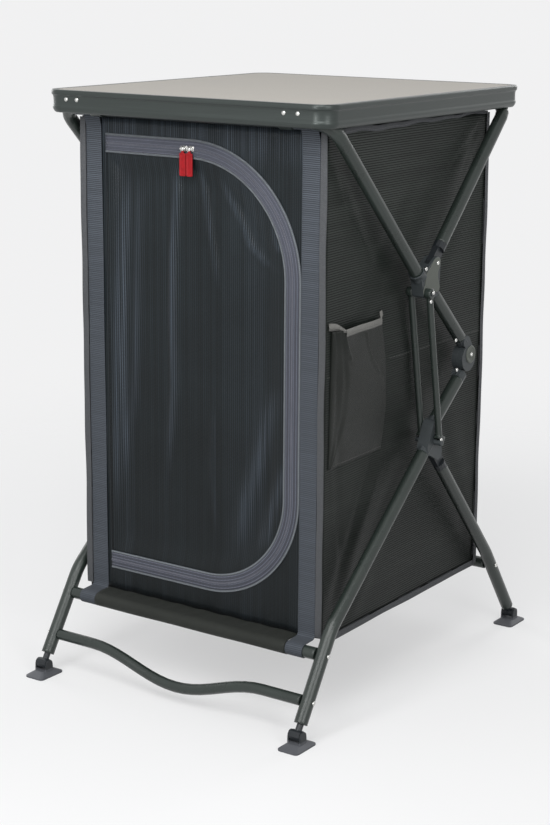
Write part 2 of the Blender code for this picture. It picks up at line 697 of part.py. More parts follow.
def foot_pad(name, x, ball, body):
    """A flared plate that keeps the leg from sinking in, with two ears and a pin for the knuckle."""
    rings = []
    levels = ((1.0, 0.0), (1.0, PAD_EDGE), (PAD_WAIST_SHARE, PAD_EDGE + PAD_RISE),
              (PAD_TOP_SHARE, PAD_EDGE + PAD_RISE + PAD_EDGE))
    for share, z in levels:
        outline = rounded_rectangle(PAD_WIDTH / 2 * share, PAD_LENGTH / 2 * share, PAD_CORNER * share, 3)
        rings.append([Vector((x + p.x, ball.x + p.y, z)) for p in outline])
    pad = add(name, loft(rings, True), body, BLACK_PLASTIC)
    inner = KNUCKLE_WIDTH / 2 + GAP * 2
    for side in (-1, 1):
        span = sorted((x + side * inner, x + side * (inner + EAR_THICKNESS)))
        base = vec(ball.x, PAD_EDGE)
        outline = hull_of([(ball, EAR_R), (base - vec(EAR_R, 0.0), OVERRUN / 2),
                           (base + vec(EAR_R, 0.0), OVERRUN / 2)])
        combine(pad, flat([outline], *span, "yz"), body, 'UNION')
    reach = inner + EAR_THICKNESS
    combine(pad, rod(space(x - reach, ball), space(x + reach, ball), PAD_PIN_R), body, 'UNION')


def feet():
    for place, ball, legs in (("front", FRONT_BALL, FRONT_LEGS), ("rear", REAR_BALL, REAR_LEGS)):
        for side, sign in SIDES:
            name = "foot_pad_" + place + "_" + side
            foot_pad(name, sign * FRAME_X, ball, pivot(name, sign * FRAME_X, ball, legs))


def struts():
    """Each side has two thin rods that straddle the tubes, pinned above and caught on a pin below."""
    for side, sign in SIDES:
        body = pivot("strut_" + side, sign * FRAME_X, STRUT_PIVOT, FRONT_ARMS)
        for place, offset in (("outer", ROD_OFFSET), ("inner", -ROD_OFFSET)):
            strut("strut_" + place + "_" + side, sign * (FRAME_X + offset), body)


def strut(name, x, body):
    half = ROD_R
    roof_normal = vec(sin(CATCH_SLOPE), cos(CATCH_SLOPE))
    exit_way = vec(-cos(CATCH_SLOPE), sin(CATCH_SLOPE))
    seat = CATCH_PIN_R + CATCH_CLEARANCE

    def at(along, out):
        return CATCH_PIN + exit_way * along + roof_normal * out

    wall = seat + CATCH_WALL
    catch = [at(CATCH_ROOF, seat), at(-seat, seat), at(-seat, -CATCH_LIP), at(-wall, -CATCH_LIP),
             at(-wall, seat + CATCH_HEIGHT), at(CATCH_ROOF / 2, seat + CATCH_HEIGHT)]
    piece = add(name, side_plate(catch, x, half), body, GREY_TUBE)
    top = STRUT_PIVOT + STRUT_DIR * PIVOT_R
    foot = at(0.0, seat + CATCH_HEIGHT / 3)
    combine(piece, rod(space(x, top), space(x, foot), ROD_R), body, 'UNION')
    combine(piece, rod(space(x - half, STRUT_PIVOT), space(x + half, STRUT_PIVOT), EYE_R), body, 'UNION')
    eye = rod(space(x - half - OVERRUN, STRUT_PIVOT), space(x + half + OVERRUN, STRUT_PIVOT),
              PIVOT_R + PIVOT_CLEARANCE)
    combine(piece, eye, body, 'DIFFERENCE')


def floor_top(y):
    """Height of the cloth floor, which is stretched between the two crossbars."""
    front, rear = FRONT_CROSSBAR, REAR_CROSSBAR
    share = (y - front.x) / (rear.x - front.x)
    return front.y + (rear.y - front.y) * share + CROSS_R + GAP + FLOOR_THICKNESS


def cabinet_floor():
    """The floor cloth, with a sleeve at each end round a crossbar."""
    ring = CROSS_R + GAP + FLOOR_THICKNESS / 2
    path = arc(FRONT_CROSSBAR, ring, radians(370.0), radians(90.0), RING_STEPS)
    path += arc(REAR_CROSSBAR, ring, radians(90.0), radians(-190.0), RING_STEPS)
    edge = TAPE_CENTRE - TAPE_WIDTH / 2 - OVERRUN
    floor = add("floor_panel", ribbon(path, FLOOR_THICKNESS, -edge, edge), CABINET, DARK_MESH)
    inner = CABINET_HALF_DEPTH - CLOTH - GAP
    side_path = [vec(y, floor_top(y) - FLOOR_THICKNESS / 2) for y in (-inner, inner)]
    wall = CABINET_HALF_WIDTH - CLOTH - 3 * GAP
    combine(floor, ribbon(side_path, FLOOR_THICKNESS * HEM_SHARE, -wall, wall), CABINET, 'UNION')


def door_outline(inset, close_left):
    """The door's D shape, drawn in by an inset: straight on the hinge side, round at the other corners."""
    top = DOOR_TOP - inset
    bottom = DOOR_BOTTOM + inset
    right = DOOR_RIGHT - inset
    upper = vec(DOOR_RIGHT - DOOR_TOP_R, DOOR_TOP - DOOR_TOP_R)
    lower = vec(DOOR_RIGHT - DOOR_BOTTOM_R, DOOR_BOTTOM + DOOR_BOTTOM_R)
    points = [vec(-DOOR_LEFT + close_left, bottom)]
    points += arc(lower, DOOR_BOTTOM_R - inset, -pi / 2, 0.0, ROUND_STEPS)
    points += arc(upper, DOOR_TOP_R - inset, 0.0, pi / 2, ROUND_STEPS)
    points.append(vec(-DOOR_LEFT + close_left, top))
    assert right > upper.x
    return points


def zip_band(outer, inner):
    """A tape that follows the door's edge between two insets, open at the hinge."""
    return door_outline(outer, GAP) + door_outline(inner, GAP)[::-1]


def front_face(mesh_outlines, name, body, look, thickness=CLOTH):
    low = -CABINET_HALF_DEPTH
    return add(name, flat(mesh_outlines, low, low + thickness, "xz"), body, look)


def front_wall():
    width = CABINET_HALF_WIDTH
    bottom = floor_top(-CABINET_HALF_DEPTH + CLOTH) + GAP
    wall = [vec(-width, bottom), vec(width, bottom), vec(width, CABINET_TOP), vec(-width, CABINET_TOP)]
    front = front_face([wall, door_outline(-GAP, 0.0)], "front_panel", CABINET, DARK_MESH)
    combine(front, top_sleeve(-1, FRONT_BAR), CABINET, 'UNION')
    front_face([zip_band(0.0, ZIP_TAPE)], "zip_tape_frame", CABINET, ZIP_GREY)
    front_face([zip_band(ZIP_TAPE + GAP, 2 * ZIP_TAPE)], "zip_tape_door", DOOR, ZIP_GREY)
    front_face([door_outline(2 * ZIP_TAPE + GAP, GAP)], "door_panel", DOOR, DARK_MESH)


def back_wall():
    width = CABINET_HALF_WIDTH
    bottom = floor_top(CABINET_HALF_DEPTH) + GAP
    mesh = bowed_wall(-width, width, bottom, bottom, lambda u, v, bow: (u, CABINET_HALF_DEPTH - bow, v))
    back = add("back_panel", mesh, CABINET, SIDE_CLOTH)
    combine(back, top_sleeve(1, REAR_BAR), CABINET, 'UNION')


def bowed_wall(u_low, u_high, bottom_low, bottom_high, place, columns=6, rows=10):
    """A cloth wall as a grid: it is drawn in a little in each bay above and below the shelf."""
    shape = bmesh.new()
    outer, inner = [], []
    for row in range(rows + 1):
        share = row / rows
        outer.append([])
        inner.append([])
        for column in range(columns + 1):
            across = column / columns
            u = u_low + (u_high - u_low) * across
            bottom = bottom_low + (bottom_high - bottom_low) * across
            half = rows // 2
            if row <= half:
                v = bottom + (SHELF_HEIGHT - bottom) * row / half
            else:
                v = SHELF_HEIGHT + (CABINET_TOP - SHELF_HEIGHT) * (row - half) / (rows - half)
            v -= HEM_SAG * sin(pi * across) * share ** 8
            bow = SIDE_BOW * sin(pi * across) * abs(sin(2 * pi * share))
            outer[-1].append(shape.verts.new(place(u, v, bow)))
            inner[-1].append(shape.verts.new(place(u, v, bow + CLOTH)))
    for row in range(rows):
        for column in range(columns):
            for sheet, flip in ((outer, False), (inner, True)):
                quad = [sheet[row][column], sheet[row][column + 1],
                        sheet[row + 1][column + 1], sheet[row + 1][column]]
                shape.faces.new(quad[::-1] if flip else quad)
    edges = [(outer[0], inner[0]), (outer[-1], inner[-1]),
             ([line[0] for line in outer], [line[0] for line in inner]),
             ([line[-1] for line in outer], [line[-1] for line in inner])]
    for near, far in edges:
        for index in range(len(near) - 1):
            shape.faces.new((near[index], near[index + 1], far[index + 1], far[index]))
    bmesh.ops.recalc_face_normals(shape, faces=shape.faces)
    mesh = bpy.data.meshes.new("wall")
    shape.to_mesh(mesh)
    shape.free()
    return smooth(mesh)


def side_walls():
    depth = CABINET_HALF_DEPTH - CLOTH - GAP
    skirt = FLOOR_THICKNESS + SIDE_SKIRT
    bottoms = (floor_top(-depth) - skirt, floor_top(depth) - skirt)
    for side, sign in SIDES:
        def place(u, v, bow):
            return (sign * (CABINET_HALF_WIDTH - bow), u, v)
        add("side_panel_" + side, bowed_wall(-depth, depth, *bottoms, place), CABINET, SIDE_CLOTH)


def shelf():
    x = CABINET_HALF_WIDTH - CLOTH - 2 * GAP
    y = CABINET_HALF_DEPTH - CLOTH - GAP
    low = SHELF_HEIGHT - SHELF_THICKNESS / 2
    high = SHELF_HEIGHT + SHELF_THICKNESS / 2
    board = [vec(p.x, p.y) for p in rounded_rectangle(x, y, SHELF_THICKNESS, 2)]
    add("shelf", flat([board], low, high, "xy"), CABINET, DARK_MESH)


def front_tape(name, x_low, x_high):
    """A load strap: looped round the top bar, down the front wall and looped round the crossbar."""
    face = -CABINET_HALF_DEPTH - GAP - TAPE_THICKNESS / 2
    ring = TUBE_R + GAP + TAPE_THICKNESS / 2
    low_ring = CROSS_R + GAP + TAPE_THICKNESS / 2
    path = arc(FRONT_BAR, ring, radians(250.0), 0.0, RING_STEPS)
    path += [vec(face, CABINET_TOP - TAPE_WIDTH / 2), vec(face, FRONT_CROSSBAR.y + TAPE_WIDTH)]
    path += arc(FRONT_CROSSBAR, low_ring, radians(50.0), radians(-200.0), RING_STEPS)
    add(name, ribbon(path, TAPE_THICKNESS, x_low, x_high), CABINET, WEBBING)


def tapes():
    for side, hand in SIDES:
        low, high = sorted((hand * (TAPE_CENTRE - TAPE_WIDTH / 2), hand * (TAPE_CENTRE + TAPE_WIDTH / 2)))
        front_tape("webbing_" + side, low, high)


def top_sleeve(sign, bar):
    """The hem at the head of a wall: folded round the top bar and sewn down on the wall."""
    thickness = CLOTH * HEM_SHARE
    ring = TUBE_R + GAP + thickness / 2
    inner = 0.0 if sign < 0 else pi
    path = arc(bar, ring, inner - sign * radians(-260.0), inner, RING_STEPS)
    wall = sign * (CABINET_HALF_DEPTH - CLOTH / 2)
    path += [vec(wall, CABINET_TOP - HEM_SAG), vec(wall, CABINET_TOP - TAPE_WIDTH / 2)]
    return ribbon(path, thickness, -TOP_SLEEVE_HALF, TOP_SLEEVE_HALF)


def zip_slider(name, x, body):
    """A zip slider: a plate on the teeth and two ears with a pin for the puller."""
    z = DOOR_TOP - ZIP_TAPE - GAP / 2
    face = -CABINET_HALF_DEPTH - GAP
    front = face - SLIDER_THICKNESS
    half_x = SLIDER_LENGTH / 2
    half_z = SLIDER_WIDTH / 2
    plate = box((x - half_x, front, z - half_z), (x + half_x, face, z + half_z))
    slider = add(name, plate, body, BRIGHT_METAL)
    ear_in = PULL_NECK / 2 + GAP
    for side in (-1, 1):
        near, far = sorted((x + side * ear_in, x + side * (ear_in + SLIDER_EAR_THICKNESS)))
        ear = box((near, front - SLIDER_EAR, z - PULL_KNUCKLE_R), (far, front + GAP, z + PULL_KNUCKLE_R))
        combine(slider, ear, body, 'UNION')
    reach = ear_in + SLIDER_EAR_THICKNESS / 2
    pin = pull_axis()
    combine(slider, rod(space(x - reach, pin), space(x + reach, pin), PULL_PIN_R), body, 'UNION')


def pull_axis():
    z = DOOR_TOP - ZIP_TAPE - GAP / 2
    face = -CABINET_HALF_DEPTH - GAP - SLIDER_THICKNESS
    return vec(face - SLIDER_EAR / 2 - GAP, z)


def zip_puller(name, x, body):
    """A soft pull tab that hangs from the slider's pin."""
    pin = pull_axis()
    half = PULL_NECK / 2
    knuckle = rod(space(x - half, pin), space(x + half, pin), PULL_KNUCKLE_R)
    puller = add(name, knuckle, body, PULL_RED)
    low = pin.y - PULL_LENGTH
    shoulder = pin.y - SLIDER_WIDTH / 2 - GAP
    neck_end = pin.y - PULL_KNUCKLE_R / 2
    wide = PULL_WIDTH / 2
    tab = [vec(x - half, neck_end), vec(x - half, shoulder), vec(x - wide, shoulder - wide / 2),
           vec(x - wide, low + wide / 2), vec(x - half, low), vec(x + half, low),
           vec(x + wide, low + wide / 2), vec(x + wide, shoulder - wide / 2),
           vec(x + half, shoulder), vec(x + half, neck_end)]
    thick = PULL_THICKNESS / 2
    combine(puller, flat([tab], pin.x - thick, pin.x + thick, "xz"), body, 'UNION')
    bore = rod(space(x - PULL_NECK, pin), space(x + PULL_NECK, pin), PULL_PIN_R + GAP)
    combine(puller, bore, body, 'DIFFERENCE')


def zips():
    right_x = DOOR_RIGHT - DOOR_TOP_R
    for side, x in (("right", right_x), ("left", right_x - SLIDER_SPACING)):
        slider_body = pivot("zip_slider_" + side, x, pull_axis(), CABINET)
        puller_body = pivot("zip_puller_" + side, x, pull_axis(), slider_body)
        zip_slider("zip_slider_" + side, x, slider_body)
        zip_puller("zip_puller_" + side, x, puller_body)


def side_pocket():
    """An open-topped pouch sewn on the right side wall, with a board-stiff mouth."""
    x_in = CABINET_HALF_WIDTH + GAP
    x_out = x_in + POCKET_DEPTH
    outline = [vec(-POCKET_FRONT, POCKET_TOP), vec(-POCKET_FRONT + POCKET_TAPER, POCKET_BOTTOM),
               vec(-POCKET_REAR - POCKET_TAPER, POCKET_BOTTOM - POCKET_TAPER),
               vec(-POCKET_REAR, POCKET_TOP - POCKET_TAPER)]
    pocket = add("side_pocket", flat([outline], x_in, x_out, "yz"), CABINET, SIDE_CLOTH)
    wall = POCKET_WALL
    mouth = box((x_in + wall, -POCKET_FRONT + POCKET_TAPER + wall, POCKET_BOTTOM + wall),
                (x_out - wall, -POCKET_REAR - POCKET_TAPER - wall, POCKET_TOP + POCKET_TAPER))
    combine(pocket, mouth, CABINET, 'DIFFERENCE')


def rim_profile():
    """The rim's section as (inset, height): a bead over a concave waist, a lower bulge and a drawn-in foot."""
    top = HEIGHT
    foot = HEIGHT - RIM_HEIGHT
    bulge = foot + RIM_BULGE_HEIGHT
    outer = [(RIM_LIP_HEIGHT, top), (0.0, top - 2 * RIM_LIP_HEIGHT), (0.0, top - RIM_TOP_BEAD)]
    waist_low, waist_high = bulge + RIM_WALL, top - RIM_TOP_BEAD - RIM_WALL
    outer += [(RIM_WAIST, waist_high), (RIM_WAIST, waist_low)]
    outer += [(RIM_BULGE, bulge), (RIM_BULGE, bulge - 2 * RIM_WALL), (RIM_FOOT_INSET, foot)]
    wall = RIM_WALL
    board_edge = RIM_WAIST + wall
    shelf_top = BOARD_UNDER_Z - GAP
    inner = [(RIM_FOOT_INSET + wall, foot + wall / 2), (RIM_BULGE + wall, bulge - wall),
             (RIM_BULGE + wall, bulge - wall / 2), (board_edge, waist_low),
             (board_edge, shelf_top - wall), (board_edge + RIM_SHELF_WIDTH, shelf_top - wall),
             (board_edge + RIM_SHELF_WIDTH, shelf_top), (board_edge, shelf_top),
             (board_edge, top - RIM_LIP_HEIGHT), (RIM_LIP_WIDTH, top - RIM_LIP_HEIGHT), (RIM_LIP_WIDTH, top)]
    return outer + inner


def worktop():
    half_x, half_y = WORKTOP_WIDTH / 2, WORKTOP_DEPTH / 2

    def outline(inset):
        return rounded_rectangle(half_x - inset, half_y - inset, WORKTOP_CORNER - inset)

    rings = [[Vector((p.x, p.y, z)) for p in outline(inset)] for inset, z in rim_profile()]
    add("worktop_rim", smooth(loft(rings, False), radians(50.0)), WORKTOP, RIM_METAL)
    edge = RIM_WAIST + RIM_WALL + GAP
    slab = flat([outline(edge)], BOARD_UNDER_Z, BOARD_STEP_Z, "xy")
    board = add("worktop_board", slab, WORKTOP, BOARD_TOP)
    face = flat([outline(RIM_LIP_WIDTH + GAP)], BOARD_UNDER_Z + RIM_WALL, BOARD_TOP_Z, "xy")
    combine(board, face, WORKTOP, 'UNION')
    for side, sign in SIDES:
        span = sorted((sign * (HOOK_X - HOOK_HALF_WIDTH), sign * (HOOK_X + HOOK_HALF_WIDTH)))
        front_hook("worktop_hook_" + side, span)
        rear_rest("worktop_rest_" + side, span)


def front_hook(name, span):
    """Bracket under the front of the board: a saddle over the bar and a hook round it, the worktop's hinge."""
    ring = TUBE_R + 2 * GAP + SADDLE / 2
    path = arc(FRONT_BAR, ring, radians(60.0), radians(385.0), RING_STEPS)
    hook = add(name, ribbon(path, SADDLE, *span), WORKTOP, BRIGHT_METAL)
    return hook


def rear_rest(name, span):
    """Plastic rest under the board: a pad over the rear bar and a cheek behind it."""
    top = BOARD_UNDER_Z - GAP
    low = top - SADDLE
    start = BAR_SPREAD - REST_LENGTH / 2
    cheek = BAR_SPREAD + TUBE_R + 2 * GAP
    end = min(cheek + REST_CHEEK, WORKTOP_DEPTH / 2 - RIM_WAIST - RIM_WALL - RIM_SHELF_WIDTH - GAP)
    outline = [vec(start, low), vec(cheek, low), vec(cheek, BAR_Z), vec(end, BAR_Z), vec(end, top),
               vec(start, top)]
    add(name, flat([outline], *span, "yz"), WORKTOP, BLACK_PLASTIC)


front_arms()
rear_arms()
front_legs()
rear_legs()
struts()
feet()
worktop()
cabinet_floor()
front_wall()
back_wall()
side_walls()
shelf()
tapes()
side_pocket()
zips()
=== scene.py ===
from math import cos, hypot, pi, radians, sin

import bmesh
import bpy
import numpy as np
from mathutils import Matrix, Vector, geometry, noise


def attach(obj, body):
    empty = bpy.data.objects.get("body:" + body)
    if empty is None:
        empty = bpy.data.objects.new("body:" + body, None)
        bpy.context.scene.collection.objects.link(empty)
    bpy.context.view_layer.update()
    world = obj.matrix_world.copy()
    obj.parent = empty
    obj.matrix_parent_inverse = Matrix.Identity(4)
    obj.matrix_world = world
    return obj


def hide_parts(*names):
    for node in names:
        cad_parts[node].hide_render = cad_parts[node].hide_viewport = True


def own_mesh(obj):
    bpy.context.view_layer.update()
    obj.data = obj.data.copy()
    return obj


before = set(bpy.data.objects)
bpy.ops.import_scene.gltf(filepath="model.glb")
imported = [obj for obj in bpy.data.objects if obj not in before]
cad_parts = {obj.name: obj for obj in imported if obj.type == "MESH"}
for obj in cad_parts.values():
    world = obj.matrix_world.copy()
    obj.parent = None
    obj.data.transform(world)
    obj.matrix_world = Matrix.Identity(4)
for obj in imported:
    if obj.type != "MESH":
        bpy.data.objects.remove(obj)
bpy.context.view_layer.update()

# Studio: a pale floor that runs out into a pale background, softboxes in front, above, at both sides and
# behind, and the camera at the photograph's place. The floor looks paler than it lights the object.
IMAGE_HEIGHT = 825
CAMERA_PLACE = Vector((1.92351, -2.80841, 1.29802))
CAMERA_AIM = Vector((-0.55469, 0.79767, -0.23674))
CAMERA_ROLL = radians(0.37)
FOCAL_PIXELS = 1858.5
SENSOR = 36.0
BACKGROUND = (0.880, 0.880, 0.885, 1.0)
ROOM_COLOUR, ROOM_STRENGTH = (0.97, 0.985, 1.0, 1.0), 0.40


def set_down(name, data):
    """A new object in the scene for a mesh, a lamp or a camera."""
    thing = bpy.data.objects.new(name, data)
    bpy.context.scene.collection.objects.link(thing)
    return thing


camera_data = bpy.data.cameras.new("photo_camera")
camera_data.sensor_fit = 'VERTICAL'
camera_data.sensor_height = SENSOR
camera_data.lens = FOCAL_PIXELS / IMAGE_HEIGHT * SENSOR
camera_data.clip_end = 50.0
camera = set_down("photo_camera", camera_data)
level = CAMERA_AIM.cross(Vector((0, 0, 1))).normalized()
upright = level.cross(CAMERA_AIM).normalized()
camera_right = level * cos(CAMERA_ROLL) + upright * sin(CAMERA_ROLL)
camera_up = upright * cos(CAMERA_ROLL) - level * sin(CAMERA_ROLL)
camera.matrix_world = Matrix.Translation(CAMERA_PLACE) @ Matrix(
    (camera_right, camera_up, -CAMERA_AIM.normalized())).transposed().to_4x4()
bpy.context.scene.camera = camera
bpy.context.scene.view_settings.view_transform = 'Standard'


def put(tree, kind, sockets=None, **settings):
    """Adds a shader node to a tree: sockets are values or other nodes' outputs, by name or number."""
    made = tree.nodes.new("ShaderNode" + kind)
    for key, value in settings.items():
        setattr(made, key, value)
    for key, value in (sockets or {}).items():
        if isinstance(value, bpy.types.NodeSocket):
            tree.links.new(value, made.inputs[key])
        else:
            made.inputs[key].default_value = value
    return made


def maths(tree, how, *values):
    return put(tree, "Math", dict(enumerate(values)), operation=how).outputs[0]


def seen_directly(tree):
    """1 for rays from the camera, from gloss and through glass, and 0 for light on the object."""
    path = put(tree, "LightPath").outputs
    first = maths(tree, 'MAXIMUM', path["Is Camera Ray"], path["Is Glossy Ray"])
    return maths(tree, 'MAXIMUM', first, path["Is Transmission Ray"])


world = bpy.data.worlds.new("pale_room")
world.use_nodes = True
bpy.context.scene.world = world
tree = world.node_tree
backdrop = put(tree, "Background", {"Color": BACKGROUND, "Strength": 1.0})
room_light = put(tree, "Background", {"Color": ROOM_COLOUR, "Strength": ROOM_STRENGTH})
either = put(tree, "MixShader", {0: seen_directly(tree), 1: room_light.outputs[0],
                                           2: backdrop.outputs[0]})
tree.links.new(either.outputs[0], tree.nodes["World Output"].inputs[0])


def finish_of(name, colour, roughness, metallic=0.0, **sockets):
    """A material and its tree: one Principled shader, its even values set straight on the sockets."""
    material = bpy.data.materials.new(name)
    material.use_nodes = True
    shader = material.node_tree.nodes["Principled BSDF"]
    shader.inputs["Base Color"].default_value = colour
    shader.inputs["Roughness"].default_value = roughness
    shader.inputs["Metallic"].default_value = metallic
    for key, value in sockets.items():
        shader.inputs[key.replace("_", " ")].default_value = value
    return material, material.node_tree


def as_mesh(shape, name):
    mesh = bpy.data.meshes.new(name)
    shape.to_mesh(mesh)
    shape.free()
    return mesh


FLOOR_RADIUS = 3.0
FLOOR_FADE = (0.9, 2.6)
FLOOR_PAINT = (0.30, 0.30, 0.305, 1.0)
FLOOR_SEEN, FLOOR_LIFT = (0.46, 0.46, 0.46, 1.0), 0.53
disc = bmesh.new()
bmesh.ops.create_circle(disc, cap_ends=True, radius=FLOOR_RADIUS, segments=96)
studio_floor = set_down("studio_floor", as_mesh(disc, "studio_floor"))
floor_finish, tree = finish_of("studio_floor", FLOOR_PAINT, 0.9, Specular_IOR_Level=0.0)
paint = tree.nodes["Principled BSDF"]
lift = put(tree, "Emission", {"Color": BACKGROUND, "Strength": FLOOR_LIFT})
soft = put(tree, "BsdfDiffuse", {"Color": FLOOR_SEEN})
seen = put(tree, "AddShader", {0: lift.outputs[0], 1: soft.outputs[0]})
surface = put(tree, "MixShader", {0: seen_directly(tree), 1: paint.outputs[0], 2: seen.outputs[0]})
place = put(tree, "TexCoord").outputs["Object"]
reach = put(tree, "VectorMath", {0: place}, operation='LENGTH').outputs["Value"]
mix_share = put(tree, "MapRange", {0: reach, 1: FLOOR_FADE[0], 2: FLOOR_FADE[1]},
           interpolation_type='SMOOTHSTEP').outputs[0]
clear = put(tree, "BsdfTransparent")
ground = put(tree, "MixShader", {0: mix_share, 1: surface.outputs[0], 2: clear.outputs[0]})
tree.links.new(ground.outputs[0], tree.nodes["Material Output"].inputs[0])
studio_floor.data.materials.append(floor_finish)


def softbox(name, place, aim, width, height, watts):
    data = bpy.data.lights.new(name, 'AREA')
    data.shape = 'RECTANGLE'
    data.size, data.size_y = width, height
    data.energy = watts
    lamp = set_down(name, data)
    lamp.location = place
    lamp.rotation_euler = (Vector(aim) - Vector(place)).to_track_quat('-Z', 'Y').to_euler()


softbox("softbox_front", (-0.20, -3.3, 1.45), (0.0, 0.0, 0.7), 0.60, 1.7, 34.0)
softbox("softbox_above", (0.8, -2.2, 2.8), (0.0, 0.0, 0.9), 1.8, 1.8, 53.0)
softbox("softbox_right", (3.0, -1.7, 1.75), (0.1, 0.0, 0.8), 0.9, 1.5, 27.0)
softbox("softbox_back", (0.4, 3.4, 2.0), (0.0, 0.0, 0.6), 1.2, 1.4, 24.0)
softbox("softbox_left", (-3.1, 0.7, 1.6), (0.0, 0.0, 0.6), 1.0, 1.6, 18.0)


# Frame tubes: steel, dark grey-green powder coat, satin with a very fine orange-peel skin that is worn a
# little along its edges. They are the CAD's own tubes, and their flats are shaded as one round wall.
COAT_GREY = (0.022, 0.030, 0.026, 1.0)
WALL_EASE = 0.0055


def object_place(tree, stretch=(1.0, 1.0, 1.0)):
    """The point on the piece in metres, stretched along its axes."""
    coords = put(tree, "TexCoord").outputs["Object"]
    return put(tree, "Mapping", {0: coords, 3: stretch}).outputs[0]


def cloudy(tree, vector, scale, detail=3.0, roughness=0.55):
    return put(tree, "TexNoise", {"Vector": vector, "Scale": scale, "Detail": detail,
                                            "Roughness": roughness}).outputs["Fac"]


def between(tree, amount, low, high, start=0.3, end=0.7):
    """A number that runs from low to high as the amount runs from start to end."""
    return put(tree, "MapRange", {0: amount, 1: start, 2: end, 3: low, 4: high}).outputs[0]


def blend_colour(tree, amount, first, second):
    return put(tree, "Mix", {0: amount, 6: first, 7: second}, data_type='RGBA').outputs[2]


def tinted(colour, factor):
    return tuple(channel * factor for channel in colour[:3]) + (1.0,)


def mottled(tree, cloud, colour, low, high):
    """The colour, from low to high times its own brightness as the cloud runs from dark to light."""
    return blend_colour(tree, between(tree, cloud, 0.0, 1.0), tinted(colour, low), tinted(colour, high))


def raise_skin(tree, height, depth, strength=1.0, under=None):
    """Bump of a real depth in metres, on top of another bump if there is one."""
    sockets = {"Height": height, "Distance": depth, "Strength": strength}
    if under is not None:
        sockets["Normal"] = under
    return put(tree, "Bump", sockets).outputs[0]


def connect(material, **sockets):
    shader = material.node_tree.nodes["Principled BSDF"]
    for key, value in sockets.items():
        material.node_tree.links.new(value, shader.inputs[key.replace("_", " ")])
    return material


def worn_edges(tree, colour, tone, most, radius=0.0012):
    """The colour with a worn tone blended in on sharp outer edges, where handling polishes the coat."""
    bevel = put(tree, "Bevel", {"Radius": radius}, samples=4).outputs[0]
    normal = put(tree, "NewGeometry").outputs["Normal"]
    match = put(tree, "VectorMath", {0: bevel, 1: normal}, operation='DOT_PRODUCT').outputs["Value"]
    return blend_colour(tree, between(tree, match, most, 0.0, 0.82, 0.985), colour, tone)


def powder_coat():
    material, tree = finish_of("powder_coat", COAT_GREY, 0.28, 0.0, Specular_IOR_Level=0.5)
    place = object_place(tree)
    cloud = cloudy(tree, place, 14.0)
    peel = cloudy(tree, place, 950.0, 2.0)
    speck = cloudy(tree, place, 2600.0, 1.0)
    colour = mottled(tree, cloud, COAT_GREY, 0.88, 1.12)
    colour = blend_colour(tree, between(tree, speck, 0.0, 0.35, 0.58, 0.72), colour, tinted(COAT_GREY, 1.9))
    colour = worn_edges(tree, colour, tinted(COAT_GREY, 2.2), 0.4)
    round_wall = put(tree, "Bevel", {"Radius": WALL_EASE}, samples=8).outputs[0]
    return connect(material, Base_Color=colour, Roughness=between(tree, cloud, 0.24, 0.33),
                   Normal=raise_skin(tree, peel, 0.00004, 1.0, round_wall))


def dress(material, *nodes):
    """Gives CAD nodes a finish in place of their plain one."""
    for name in nodes:
        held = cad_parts[name]
        for index in range(len(held.material_slots)):
            held.material_slots[index].material = material
        if not held.material_slots:
            held.data.materials.append(material)


def pair(name):
    return [name + "_left", name + "_right"]


COAT = powder_coat()
dress(COAT, "front_upper_tube", "rear_upper_tube", "front_crossbar", "rear_crossbar", "wavy_brace",
      *pair("upper_link"), *pair("lower_link"), *pair("front_leg"), *pair("rear_leg"),
      *pair("strut_outer"), *pair("strut_inner"))


# Hubs, knees and fork pieces: glass-filled nylon, moulded, dark grey at the hubs and black at the
# tongues and plugs, with a fine eroded grain and slightly shiny worn edges.
HUB_GREY = (0.042, 0.049, 0.052, 1.0)
TONGUE_BLACK = (0.016, 0.019, 0.022, 1.0)


def moulded(name, colour, roughness, grain=0.00006):
    material, tree = finish_of(name, colour, roughness, 0.0, Specular_IOR_Level=0.35)
    place = object_place(tree)
    cloud = cloudy(tree, place, 22.0)
    pits = put(tree, "TexVoronoi", {"Vector": place, "Scale": 1700.0}).outputs["Distance"]
    fine = cloudy(tree, place, 1300.0, 2.0)
    shade = worn_edges(tree, mottled(tree, cloud, colour, 0.86, 1.14), tinted(colour, 1.7), 0.5)
    rough = between(tree, cloud, roughness - 0.06, roughness + 0.08)
    pitted = raise_skin(tree, pits, grain, 0.8)
    return connect(material, Base_Color=shade, Roughness=rough,
                   Normal=raise_skin(tree, fine, grain, 0.6, pitted))


HUB_PLASTIC = moulded("hub_plastic", HUB_GREY, 0.46)
BLACK_NYLON = moulded("black_nylon", TONGUE_BLACK, 0.38)
dress(HUB_PLASTIC, *pair("upper_hub"), *pair("lower_hub"), *pair("knee_upper"), *pair("knee_lower"))
dress(BLACK_NYLON, *pair("rear_arm_tongue"), *pair("rear_leg_tongue"), *pair("front_foot_plug"),
      *pair("rear_foot_plug"), *pair("worktop_rest"))


# Rivets and pins: bright zinc-plated steel with domed heads, set through the tubes and hubs
# from the outside of each frame side.
ZINC = (0.62, 0.62, 0.60, 1.0)
FRAME_PLANE = 0.285
TUBE_SIDE = 0.0122


def turned(profile, place, axis, sides=20):
    """A round piece turned from (height, radius) pairs along an axis, as a mesh."""
    shape = bmesh.new()
    rings = []
    angles = [2 * pi * k / sides for k in range(sides)]
    for height, radius in profile:
        rings.append([shape.verts.new((radius * cos(a), radius * sin(a), height)) for a in angles])
    for low, high in zip(rings, rings[1:]):
        for k in range(sides):
            shape.faces.new((low[k], low[(k + 1) % sides], high[(k + 1) % sides], high[k]))
    shape.faces.new(rings[0][::-1])
    shape.faces.new(rings[-1])
    turn = Vector(axis).to_track_quat('Z', 'Y').to_matrix().to_4x4()
    shape.transform(Matrix.Translation(place) @ turn)
    for face in shape.faces:
        face.smooth = True
    return as_mesh(shape, "turned")


